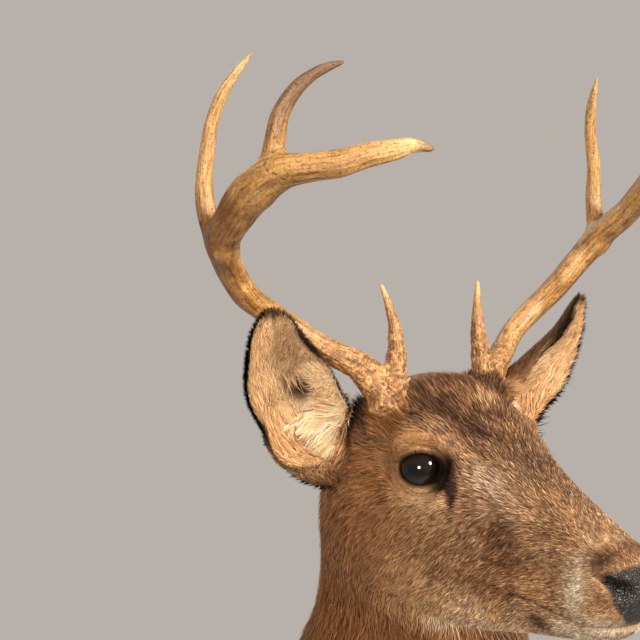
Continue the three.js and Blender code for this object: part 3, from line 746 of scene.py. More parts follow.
def m_nose(nt, bs):
    bs.inputs["Roughness"].default_value = 0.40
    bs.inputs["Specular IOR Level"].default_value = 0.42
    v = nt.nodes.new("ShaderNodeTexVoronoi")
    tc = nt.nodes.new("ShaderNodeTexCoord")
    nt.links.new(tc.outputs["Object"], v.inputs["Vector"])
    v.inputs["Scale"].default_value = 560.0
    # pebbles: round grains, with painted shade in the seams between them and painted light on their middles
    pebble_shade = ramp(nt, v.outputs["Distance"], [(0.25, (1.25,) * 3), (0.55, (0.9,) * 3), (0.8, (0.35,) * 3)])
    high = ramp(nt, v.outputs["Distance"], [(0.15, (1.0,) * 3), (0.8, (0.0,) * 3)])
    c = blend(nt, "MULTIPLY", 1.0, col_attr(nt).outputs["Color"], pebble_shade.outputs["Color"])
    nt.links.new(c, bs.inputs["Base Color"])
    bump_node(nt, bs, high.outputs["Color"], 0.9, 0.0009)


def m_eye(nt, bs):
    a = col_attr(nt)
    nt.links.new(a.outputs["Color"], bs.inputs["Base Color"])
    n = noise_node(nt, 700.0, 2.0, 0.5)
    r = ramp(nt, n.outputs["Fac"], [(0.0, (0.035,) * 3), (1.0, (0.06,) * 3)])
    nt.links.new(r.outputs["Color"], bs.inputs["Roughness"])
    bs.inputs["Specular IOR Level"].default_value = 0.34


def m_antler(nt, bs):
    """bone: fine streaks and furrows along the beam, small knobs about its foot"""
    g, kn, col = attr(nt, "grain"), attr(nt, "knobs"), col_attr(nt)

    def grain_noise(scale, detail, rough):
        n = nt.nodes.new("ShaderNodeTexNoise")
        n.inputs["Scale"].default_value = scale
        n.inputs["Detail"].default_value = detail
        n.inputs["Roughness"].default_value = rough
        nt.links.new(g.outputs["Vector"], n.inputs["Vector"])
        return n

    streak, fine = grain_noise(330.0, 5.0, 0.7), grain_noise(640.0, 4.0, 0.75)
    spots = noise_node(nt, 700.0, 4.0, 0.7)
    r1 = ramp(nt, streak.outputs["Fac"], [(0.35, (0.46, 0.37, 0.25)), (0.46, (0.90, 0.87, 0.82)), (0.60, (1.18, 1.19, 1.20))])
    r2 = ramp(nt, fine.outputs["Fac"], [(0.35, (0.56, 0.48, 0.38)), (0.46, (1.03, 1.03, 1.03))])
    r3 = ramp(nt, spots.outputs["Fac"], [(0.33, (0.22, 0.16, 0.10)), (0.41, (0.92, 0.90, 0.87)), (0.60, (1.26, 1.27, 1.28))])
    cm = attr(nt, "calm")
    grit = noise_node(nt, 470.0, 5.0, 0.78)
    r4 = ramp(nt, grit.outputs["Fac"], [(0.36, (0.20, 0.14, 0.07)), (0.46, (0.94, 0.92, 0.88)), (0.64, (1.20, 1.21, 1.22))])
    c = blend(nt, "MULTIPLY", cm.outputs["Fac"], col.outputs["Color"], r1.outputs["Color"])
    c = blend(nt, "MULTIPLY", cm.outputs["Fac"], c, r2.outputs["Color"])
    c = blend(nt, "MULTIPLY", 0.9, c, r4.outputs["Color"])
    c = blend(nt, "MULTIPLY", kn.outputs["Fac"], c, r3.outputs["Color"])
    nt.links.new(c, bs.inputs["Base Color"])
    n = noise_node(nt, 160.0, 5.0, 0.65)
    r = ramp(nt, n.outputs["Fac"], [(0.3, (0.20,) * 3), (0.7, (0.40,) * 3)])
    nt.links.new(r.outputs["Color"], bs.inputs["Roughness"])
    bs.inputs["Specular IOR Level"].default_value = 0.42
    # relief: furrows everywhere, grains on the foot
    m1 = blend(nt, "MIX", 0.35, streak.outputs["Fac"], fine.outputs["Fac"])
    m2 = blend(nt, "MIX", kn.outputs["Fac"], m1, spots.outputs["Fac"])
    bump_node(nt, bs, m2, 0.75, 0.0016)


def m_board(nt, bs):
    tc = nt.nodes.new("ShaderNodeTexCoord")
    mp = nt.nodes.new("ShaderNodeMapping")
    mp.inputs["Scale"].default_value = (1.0, 1.0, 0.12)
    nt.links.new(tc.outputs["Object"], mp.inputs["Vector"])
    n = nt.nodes.new("ShaderNodeTexNoise")
    n.inputs["Scale"].default_value = 60.0
    n.inputs["Detail"].default_value = 6.0
    n.inputs["Distortion"].default_value = 0.6
    nt.links.new(mp.outputs[0], n.inputs["Vector"])
    r = ramp(nt, n.outputs["Fac"], [(0.30, lin((132, 92, 56))), (0.48, lin((178, 134, 88))), (0.62, lin((196, 154, 106))), (0.75, lin((150, 108, 68)))])
    # plies show along the edge of the board
    sx = nt.nodes.new("ShaderNodeSeparateXYZ")
    nt.links.new(tc.outputs["Object"], sx.inputs[0])
    w = nt.nodes.new("ShaderNodeTexWave")
    w.bands_direction = "Y"
    w.inputs["Scale"].default_value = 52.0
    w.inputs["Distortion"].default_value = 0.4
    nt.links.new(tc.outputs["Object"], w.inputs["Vector"])
    r2 = ramp(nt, w.outputs["Fac"], [(0.35, (0.72,) * 3), (0.6, (1.0,) * 3)])
    mx = nt.nodes.new("ShaderNodeMix")
    mx.data_type = "RGBA"
    mx.blend_type = "MULTIPLY"
    mx.inputs["Factor"].default_value = 0.8
    nt.links.new(r.outputs["Color"], mx.inputs["A"])
    nt.links.new(r2.outputs["Color"], mx.inputs["B"])
    nt.links.new(mx.outputs["Result"], bs.inputs["Base Color"])
    bs.inputs["Roughness"].default_value = 0.6
    bump_node(nt, bs, n.outputs["Fac"], 0.3, 0.0008)


MAT = {k: material(k, f) for k, f in dict(hide_skin=m_skin, hide_coat=m_coat, lid_skin=m_lid, nose_leather=m_nose, eye_glass=m_eye, antler_bone=m_antler, board_ply=m_board).items()}

# ------------------------------------------------------------------ the ears' shape
EAR_LINE = [[-88, 54, -26], [-81, 83, -10], [-75, 107, 10], [-70, 126, 36], [-67, 145, 62], [-66, 156, 86], [-66, 160, 102], [-66, 163, 112]]
ear_half = spline([0, 0.04, 0.08, 0.13, 0.3, 0.5, 0.7, 0.86, 0.95, 1], [12, 20, 25, 28, 32, 34, 31, 21, 12, 4])
ear_cup = spline([0, 0.12, 0.20, 0.27, 0.34, 0.5, 0.75, 1], [176, 168, 154, 132, 106, 78, 57, 46])
EAR_FACING = np.array([0.84, 0.5, 0.2])
EAR_COAT = 6.0


def centripetal(pts, m):
    p = np.array(pts, float)
    ext = np.vstack([2 * p[0] - p[1], p, 2 * p[-1] - p[-2]])
    out = []
    t = np.linspace(0, 1, m, endpoint=False)[:, None]
    for i in range(len(p) - 1):
        p0, p1, p2, p3 = ext[i:i + 4]
        d0, d1, d2 = [max(np.linalg.norm(b - a) ** 0.5, 1e-4) for a, b in ((p0, p1), (p1, p2), (p2, p3))]
        t1 = ((p1 - p0) / d0 - (p2 - p0) / (d0 + d1) + (p2 - p1) / d1) * d1
        t2 = ((p2 - p1) / d1 - (p3 - p1) / (d1 + d2) + (p3 - p2) / d2) * d1
        out.append(p1 * (2 * t ** 3 - 3 * t ** 2 + 1) + p2 * (3 * t ** 2 - 2 * t ** 3) + t1 * (t ** 3 - 2 * t ** 2 + t) + t2 * (t ** 3 - t ** 2))
    out.append(p[-1:])
    return np.vstack(out)


def along_curve(pts, m=60):
    """function of u (0..1 by length) giving point and tangent, and the length fractions of the knots"""
    c = centripetal(pts, m)
    seg = np.linalg.norm(np.diff(c, axis=0), axis=1)
    L = np.concatenate([[0], np.cumsum(seg)])
    tot = L[-1]

    def at(u):
        u = np.clip(np.atleast_1d(u), 0, 1) * tot
        pt = np.stack([np.interp(u, L, c[:, k]) for k in range(3)], 1)
        a = np.stack([np.interp(np.clip(u - 1.5, 0, tot), L, c[:, k]) for k in range(3)], 1)
        b = np.stack([np.interp(np.clip(u + 1.5, 0, tot), L, c[:, k]) for k in range(3)], 1)
        return pt, unit(b - a)

    return at, L[::m] / tot, tot


_ear_at = along_curve(EAR_LINE)[0]


def ear_point(u, w, offset):
    """ear surface: u along, w across (-1 the front edge, 1 the back edge), offset from the middle of its thickness; head frame, y outward"""
    u, w, offset = np.broadcast_arrays(np.asarray(u, float), np.asarray(w, float), np.asarray(offset, float))
    shape = u.shape
    uf = u.ravel()
    mid, along = _ear_at(uf)
    mid = mid + (1 - sstep(uf, 0, 0.13))[:, None] * np.array([-3.0, -14.0, -6.0])  # the root sinks into the head
    opn = unit(EAR_FACING - along * (along @ EAR_FACING)[:, None])
    across = np.cross(along, opn)
    A = ear_cup(uf) * rad
    half = ear_half(uf)
    rho = np.where(A > math.pi / 2, half, half / np.sin(A))
    r = rho + offset.ravel()
    ww = w.ravel() * A
    pt = mid + across * (r * np.sin(ww))[:, None] + opn * (rho * np.cos(A) - r * np.cos(ww))[:, None]
    out_n = across * np.sin(ww)[:, None] - opn * np.cos(ww)[:, None]
    return pt.reshape(shape + (3,)), out_n.reshape(shape + (3,)), along.reshape(shape + (3,)), across.reshape(shape + (3,)), opn.reshape(shape + (3,))


def ear_wave(u, w):
    """ripples of the rim and ridges inside the cup"""
    return 0.9 * np.sin(u * 19 + 1.3) * np.abs(w) ** 4 + 0.5 * np.sin(w * 9 + u * 3)


EAR_N, EAR_M = ((84, 48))
EAR_U = np.linspace(0.0, 1, EAR_N + 1)[:, None] + np.zeros((1, EAR_M + 1))
EAR_W = np.linspace(-1, 1, EAR_M + 1)[None] + np.zeros((EAR_N + 1, 1))


def ear_half_thickness(u, w):
    return (0.9 + 0.9 * (1 - u)) * (1 - 0.5 * np.abs(w) ** 6)


def ear_inside():
    """inner face of the ear: the cup above, filled out between the two edges below, two hollows left in it"""
    th, wave = ear_half_thickness(EAR_U, EAR_W), ear_wave(EAR_U, EAR_W)
    cup, _, _, _, opn = ear_point(EAR_U, EAR_W, -th + wave)
    e0, e1 = ear_point(EAR_U, EAR_W * 0 - 1, -th)[0], ear_point(EAR_U, EAR_W * 0 + 1, -th)[0]
    k = ((EAR_W + 1) / 2)[..., None]
    gap = np.linalg.norm(e1 - e0, axis=-1)
    sag = np.minimum(0.10 * gap, 6.0) * (1 - EAR_W ** 2) - 2.5 * np.sin(np.clip((EAR_U - 0.12) / 0.30, 0, 1) * math.pi) * np.exp(-((EAR_W + 0.45) / 0.4) ** 2)
    chord = e0 * (1 - k) + e1 * k - opn * sag[..., None]
    fill = (1 - sstep(EAR_U, 0.33, 0.52)) * 0.95
    fill = fill - 0.42 * np.exp(-((EAR_W - 0.12) / 0.24) ** 2 - ((EAR_U - 0.335) / 0.05) ** 2)
    fill = np.clip(fill + 0.35 * np.exp(-((EAR_W + 0.8) / 0.3) ** 2 - ((EAR_U - 0.5) / 0.12) ** 2), 0, 1)[..., None]
    return cup * (1 - fill) + chord * fill


EAR_IN = ear_inside()
_du, _dw = np.gradient(EAR_IN, axis=0), np.gradient(EAR_IN, axis=1)
EAR_IN_N = unit(np.cross(_du, _dw))
_opn = ear_point(EAR_U, EAR_W, 0.0)[4]
EAR_IN_N = np.where((EAR_IN_N * _opn).sum(-1, keepdims=True).mean() < 0, -EAR_IN_N, EAR_IN_N)


def ear_in_at(u, w):
    """inner face: point, normal into the opening, directions along and across it"""
    a, b = np.clip(u, 0, 1) * EAR_N, (np.clip(w, -1, 1) + 1) / 2 * EAR_M
    i, j = np.minimum(a.astype(int), EAR_N - 1), np.minimum(b.astype(int), EAR_M - 1)
    a, b = (a - i)[:, None], (b - j)[:, None]

    def get(G):
        return (G[i, j] * (1 - a) + G[i + 1, j] * a) * (1 - b) + (G[i, j + 1] * (1 - a) + G[i + 1, j + 1] * a) * b

    return get(EAR_IN), unit(get(EAR_IN_N)), unit(get(_du)), unit(get(_dw))


def ear_mesh(s):
    u, w = EAR_U, EAR_W
    o = ear_point(u, w, ear_half_thickness(u, w) + ear_wave(u, w))
    ring = np.concatenate([o[0], EAR_IN[:, ::-1]], 1)
    nr = np.concatenate([o[1], EAR_IN_N[:, ::-1]], 1)
    R, C = ring.shape[:2]
    V = ring.reshape(-1, 3)
    f = [grid_faces(R, C)]
    m = EAR_M + 1
    j = np.arange(EAR_M)
    for base, fl in ((0, False), ((R - 1) * C, True)):
        q = np.stack([base + j + 1, base + j, base + C - 1 - j, base + C - 2 - j], 1)
        f.append(q[:, ::-1] if fl else q)
    uu = np.repeat(u[:, 0], C)
    wc = np.concatenate([w[0], w[0][::-1]])
    ww = np.tile(wc, R)
    inner = np.tile(np.concatenate([np.zeros(m), np.ones(m)]), R)
    return V, f, nr.reshape(-1, 3), uu, ww, inner


def blend_rows(a, b, k):
    """rows of a where k is 0, of b where it is 1"""
    k = np.asarray(k, float)[:, None]
    return a * (1 - k) + b * k


def ear_colour(u, w, inner):
    """skin and hair colour of the ear (0..255)"""
    c = np.tile(np.array((138, 98, 64), float), (len(u), 1))
    outer = 1 - inner
    far = np.abs(w)

    def mix(k, col):
        nonlocal c
        c = c + (np.array(col, float) - c) * np.clip(k, 0, 1)[:, None]

    mix(outer * sstep(u, 0.45, 1.0) * 0.6, (84, 58, 38))
    mix(outer * sstep(far, 0.35, 0.75) * (1 - sstep(u, 0.34, 0.5)) * sstep(u, 0.02, 0.16) * np.where(w < 0, 0.9, 0.5), (228, 186, 138))
    mix(inner, (232, 190, 142))
    mix(inner * sstep(w, 0.0, 0.5) * (0.55 + 0.30 * (1 - sstep(u, 0.4, 0.6))), (168, 124, 82))
    mix(inner * sstep(-w, -0.1, 0.35) * (1 - sstep(u, 0.45, 0.7)) * 0.9, (255, 232, 200))
    mix(inner * np.exp(-((u - 0.84) / 0.15) ** 2) * np.exp(-((w + 0.25) / 0.7) ** 2) * 0.75, (158, 118, 80))
    # painted shade: the two hollows inside the ear are painted dark
    mix(inner * np.exp(-(((w + 0.20) / 0.25) ** 2 + ((u - 0.565) / 0.098) ** 2) ** 1.6) * 0.97, (40, 25, 16))
    mix(inner * np.exp(-((w - 0.12) / 0.18) ** 2) * np.exp(-((u - 0.335) / 0.045) ** 2) * 0.85, (74, 48, 32))
    dark_edge = np.where(w < 0, sstep(u, 0.66, 0.80), sstep(u, 0.42, 0.58))
    mix(inner * sstep(far, 0.95, 1.0) * dark_edge * 0.7, (56, 36, 23))
    mix(outer * sstep(far, 0.80, 0.96) * dark_edge * 0.9, (52, 33, 21))
    mix(outer * sstep(far, 0.86, 0.97) * (1 - dark_edge) * 0.7 * sstep(u, 0.1, 0.2), (176, 134, 94))
    mix(sstep(u, 0.955, 1.0) * 0.85, (48, 30, 19))
    mix((1 - sstep(u, 0.05, 0.20)) * 0.85, (150, 106, 68))  # the foot blends into the head
    mix(sstep(-w, 0.62, 0.95) * (1 - sstep(u, 0.36, 0.5)) * 0.7, (160, 114, 74))
    return c


# ------------------------------------------------------------------ the skin: body, ears and lids in one piece
R, C = P.shape[:2]


def nose_tip():
    lo, hi = 0.0, 60.0
    d0 = np.array([1.0, 0, 0])
    for _ in range(24):
        m = (lo + hi) / 2
        ins = head_field((np.array([CAP_X, 0, CAP_Z]) + d0 * m)[None], True)[0] + DEPTH[0] < 0
        lo, hi = (m, hi) if ins else (lo, m)
    return row(np.array([CAP_X + lo, 0, CAP_Z]))


pad_half = spline([-80, -73, -68, -61, -54, -47, -40, -32, -22], [7, 10, 14, 20, 25, 28, 29, 28, 24])
pad_mask = (sstep(PH[..., 0], 156, 162) * sstep(PH[..., 2] - (-73), 0, 3) * sstep(-(PH[..., 2] + 27 + 0.006 * PH[..., 1] ** 2), 0, 3)
            * sstep(pad_half(PH[..., 2]) - np.abs(PH[..., 1]), 0, 3) * sstep(PH[..., 0] - (front_of(PH[..., 2]) - 16 - 0.010 * PH[..., 1] ** 2), 0, 3)) * (ROWX[:, None] > 90)


def paint_skin():
    hh, nn, zz = PH.reshape(-1, 3), np.repeat(ROWN, C), N.reshape(-1, 3)
    c = marking(hh, zz, nn)
    # painted shade: the skin under the coat is painted darker than its hair, as the shade between the hairs
    c = c * 0.62
    pm = pad_mask.reshape(-1)[:, None]
    ay, z = np.abs(hh[:, 1]), hh[:, 2]
    # painted shade: the pad is darkened in the hollows of the nostrils
    nostril_shade = np.exp(-(((ay - 17 - 0.30 * (z + 44)) / 5.0) ** 2 + ((z + 44) / 4.6) ** 2)) + np.exp(-(((ay - 25) / 5.0) ** 2 + ((z + 39) / 2.6) ** 2))
    pad = lin((31, 26, 25)) * (1 - 0.8 * np.clip(nostril_shade * 1.3, 0, 1))[:, None]
    return c * (1 - pm) + pad * pm


V_all, F_all, C_all, N_all, M_all = [], [], [], [], []
count = 0


def put(V, faces, col, nor, mat):
    global count
    vol = volume(V - V.mean(0), faces)
    if vol < 0:
        faces = [f[:, ::-1] for f in faces]
    V_all.append(V)
    C_all.append(col)
    N_all.append(nor)
    for f in faces:
        F_all.append(f + count)
        M_all.append(np.full(len(f), mat) if np.isscalar(mat) else mat)
    count += len(V)


tip = nose_tip()
edge = P[-1]
centre = edge.mean(0)
inward = unit((centre - edge) * np.array([1, 0, 1]))
cap = [edge + inward * d for d in (1.0, 6.0, 30.0, 80.0)]
body_v = np.concatenate([P.reshape(-1, 3)] + cap + [tip[None], centre[None]])
RR = R + len(cap)
fb = grid_faces(RR, C)
j = np.arange(C)
fan = [np.stack([np.full(C, RR * C), (j + 1) % C, j], 1), np.stack([np.full(C, RR * C + 1), (RR - 1) * C + j, (RR - 1) * C + (j + 1) % C], 1)]
bc = paint_skin()
body_c = np.concatenate([bc, np.tile(bc[-C:], (len(cap), 1)), bc[:1], bc[-1:]])
fm = pad_mask.reshape(-1)
face_pad = (fm[fb[:, 0] % (R * C)] + fm[fb[:, 2] % (R * C)] > 1.0) & (fb[:, 2] < R * C)
vol = volume(body_v - body_v.mean(0), [fb] + fan)
sgn = 1 if vol > 0 else -1
for f, mt in ((fb, face_pad.astype(int)), (fan[0], np.ones(C, int)), (fan[1], np.zeros(C, int))):
    F_all.append(f if sgn > 0 else f[:, ::-1])
    M_all.append(mt)
V_all.append(body_v)
C_all.append(body_c)
count = len(body_v)

for s in (-1, 1):
    mir = np.array([1, s, 1])
    V, f, nr, uu, ww, inner = ear_mesh(s)
    # painted shade: the ear's skin is painted darker than its hair, most on the outside, as the shade between the hairs
    cc = lin(np.clip(ear_colour(uu, ww, inner) * np.where(inner > 0.5, 0.86, 0.76)[:, None], 8, 250))
    put(row(V * mir), f, cc, dirrow(nr * mir), 0)
    # lids
    NPHI, NB = ((112, 20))
    phi = np.linspace(0, 2 * math.pi, NPHI, endpoint=False)
    al = lid_angle(phi)
    rings, tone = [], []
    for da, rr_, tn in ((-1.6, -0.5, 0), (-0.6, 0.15, 0), (0.0, 0.7, 0), (0.9, 1.25, 0.05), (2.4, 1.65, 0.28), (4.6, 1.9, 0.58), (7.0, 2.0, 0.78)):
        a_, r_ = al + da * rad, EYE_R + rr_
        rings.append(EYE_AT + (np.cos(a_) * r_)[:, None] * EA + (np.sin(a_) * r_ * np.cos(phi))[:, None] * E1 + (np.sin(a_) * r_ * np.sin(phi))[:, None] * E2)
        tone.append(tn)
    re = LID_R * np.sin(al + LID_OUT)
    for k in range(1, NB + 4):
        t = min(k / NB, 1.0)
        over = max(0, k - NB)
        rho = re + lid_reach(phi) * t + 1.2 * over
        p, q = rho * np.cos(phi), rho * np.sin(phi)
        h = lid_height(p, q)[0] + (0.25 * (1 - sstep(t, 0.8, 1.0)) if not over else -1.3 * over)
        rings.append(EYE_AT + h[:, None] * EA + p[:, None] * E1 + q[:, None] * E2)
        tone.append(0.80 + 0.20 * min(1, 3.2 * t))
    # close the band underneath
    last = rings[-1]
    for k in (0.75, 0.5, 0.25):
        mid = rings[0] * (1 - k) + last * k
        rings.append(mid - EA * (4.5 * (1 - abs(2 * k - 1)) + 3.5))
        tone.append(0.0)
    L = np.array(rings)
    nb = len(rings)
    f = grid_faces(nb, NPHI)
    f2 = np.stack([(nb - 1) * NPHI + np.arange(NPHI), (nb - 1) * NPHI + (np.arange(NPHI) + 1) % NPHI, (np.arange(NPHI) + 1) % NPHI, np.arange(NPHI)], 1)
    hv = L.reshape(-1, 3)
    # painted shade: the lid skin under the lid hair is painted darker than the hair, as the shade between the hairs
    c1 = marking(hv, hv * 0, np.zeros(len(hv))) * 0.62
    tn = np.repeat(np.array(tone), NPHI)[:, None]
    out_t = np.repeat(np.concatenate([np.zeros(7), np.minimum(np.arange(1, NB + 4) / NB, 1.0), np.zeros(3)]), NPHI)
    # the lid ring is darkened at the eye's front corner: the gland's dark skin and painted shade of the pit there
    tn = tn * (1 - gland_and_pit_shade_at(np.tile(phi, nb), out_t))[:, None]
    cl = lin((20, 13, 9)) * (1 - tn) + c1 * tn
    lid_mat = np.where(np.repeat(np.arange(nb - 1), NPHI) < 5, 2, 0)
    Vr = row(hv * mir)
    faces = [f, f2]
    if volume(Vr - Vr.mean(0), faces) < 0:
        faces = [g[:, ::-1] for g in faces]
    V_all.append(Vr)
    C_all.append(cl)
    F_all += [faces[0] + count, faces[1] + count]
    M_all += [lid_mat, np.zeros(NPHI, int)]
    count += len(Vr)

skin = mesh_object("skin", np.concatenate(V_all), F_all, col=np.concatenate(C_all), mats=[MAT["hide_skin"], MAT["nose_leather"], MAT["lid_skin"]], fmat=np.concatenate(M_all))
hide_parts("shoulders", "neck", "head", "ear_right", "ear_left")
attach(skin, "root")
log("skin", len(skin.data.vertices))

# ------------------------------------------------------------------ eyes
for s, side in ((-1, "right"), (1, "left")):
    mir = np.array([1, s, 1])
    n1, n2 = ((72, 96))
    al = np.linspace(0, math.pi, n1 + 1)[1:-1, None]
    ph = np.linspace(0, 2 * math.pi, n2, endpoint=False)[None]
    r = EYE_R + 0 * ph - 0.0 * al
    r = r + 0.0 * np.exp(-(al / 0.5) ** 2)
    dirs = np.cos(al)[..., None] * EA + (np.sin(al) * np.cos(ph))[..., None] * E1 + (np.sin(al) * np.sin(ph))[..., None] * E2
    V = (EYE_AT + dirs * r[..., None]).reshape(-1, 3)
    V = np.concatenate([V, [EYE_AT + EA * EYE_R, EYE_AT - EA * EYE_R]])
    f = [grid_faces(n1 - 1, n2)]
    k = np.arange(n2)
    nv = (n1 - 1) * n2
    f.append(np.stack([np.full(n2, nv), (k + 1) % n2, k], 1))
    f.append(np.stack([np.full(n2, nv + 1), (n1 - 2) * n2 + k, (n1 - 2) * n2 + (k + 1) % n2], 1))
    D = unit(V - EYE_AT)
    a, b = D @ E1, D @ E2
    a, b = a * math.cos(LID_TILT) - b * math.sin(LID_TILT), a * math.sin(LID_TILT) + b * math.cos(LID_TILT)
    pupil = sstep(1.15 - np.sqrt((a / 0.42) ** 2 + (b / 0.24) ** 2), 0, 0.25)
    iris = sstep(0.86 - np.hypot(a, b), 0, 0.10)
    streak = 0.5 + 0.5 * noise(np.stack([np.arctan2(b, a) * 9, np.hypot(a, b) * 3, 0 * a], 1), 1.0, 3)
    c = lin((12, 9, 8)) * (1 - iris)[:, None] + (lin((22, 15, 11)) * (0.6 + 0.7 * streak)[:, None]) * iris[:, None]
    c = c * (1 - pupil)[:, None] + lin((7, 7, 9)) * pupil[:, None]
    Vr = row(V * mir)
    if volume(Vr - Vr.mean(0), f) < 0:
        f = [g[:, ::-1] for g in f]
    eye = mesh_object("glass_eye_" + side, Vr, f, col=c, mats=[MAT["eye_glass"]])
    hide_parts("eye_" + side)
    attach(eye, "root")

# ------------------------------------------------------------------ antlers
BEAM = [[-47, 44, 30, 17], [-52, 53, 43, 17], [-59, 65, 57, 14], [-64, 79, 69, 11.4], [-72, 93, 76, 10.6], [-82, 108, 84, 10.4], [-91, 125, 96, 10.4],
        [-96, 146, 109, 10.6], [-97, 165, 122, 11], [-93, 186, 146, 11.6], [-84, 198, 167, 12.6], [-61, 203, 190, 13.6], [-41, 201, 210, 14.2],
        [-18, 195, 225, 13], [2, 184, 231, 11.2], [16, 171, 235, 10.6], [29, 157, 242, 9.4], [39, 142, 247, 8], [46, 131, 251, 5.6], [54, 121, 250, 2.6]]
BROW = [[-53, 49, 50, 9], [-57, 46, 66, 9], [-60, 44, 80, 7.2], [-64, 44, 95, 5.6], [-69, 46, 110, 4.2], [-77, 51, 130, 1.6]]
SECOND = [[-84, 198, 160, 9], [-96, 203, 178, 8.4], [-104, 205, 200, 7.4], [-106, 203, 230, 6.5], [-109, 198, 256, 5.5], [-105, 192, 277, 4.8], [-98, 186, 292, 3.4], [-90, 180, 305, 1.2]]
THIRD = [[-40, 199, 206, 9.5], [-29, 197, 228, 9.4], [-27, 196, 248, 8.2], [-26, 193, 266, 7.1], [-21, 186, 283, 6], [-15, 178, 293, 4.8], [-8, 169, 300, 3.6], [-3, 160, 304, 1.6]]
LEFT_SAG, FLAT = 18.0, 1.18


class Horn:
    """a swept length: centres, frames and radii every STEP mm"""
    STEP = 1.5

    def __init__(self, pts, s, beam):
        pts = np.array(pts, float)
        c = pts[:, :3].copy()
        if beam and s > 0:
            sag = LEFT_SAG * np.sin(math.pi * np.clip(np.arange(len(pts)) / 10, 0, 1))
            c[:, 0] -= 0.9 * sag
            c[:, 2] -= sag
        at, knots, tot = along_curve(c, 60)
        knots = np.append(knots, 1.0)[:len(pts)]
        self.len = tot
        n = int(tot / self.STEP) + 1
        self.u = np.linspace(0, 1, n)
        self.c, self.T = at(self.u)
        self.r = spline(knots, pts[:, 3])(self.u)
        if beam:
            self.r = self.r * (0.5 + 0.5 * sstep(self.u * tot, 0, 17))
        self.palm = 1 + (FLAT - 1) * np.exp(-((self.u - 0.66) / 0.1) ** 2) if beam else np.ones(n)
        side = np.array([0.3, 0.2, 1.0])
        S = []
        for k in range(n):
            side = unit(side - self.T[k] * (side @ self.T[k]))
            S.append(side)
        self.S = np.array(S)
        self.O = np.cross(self.T, self.S)


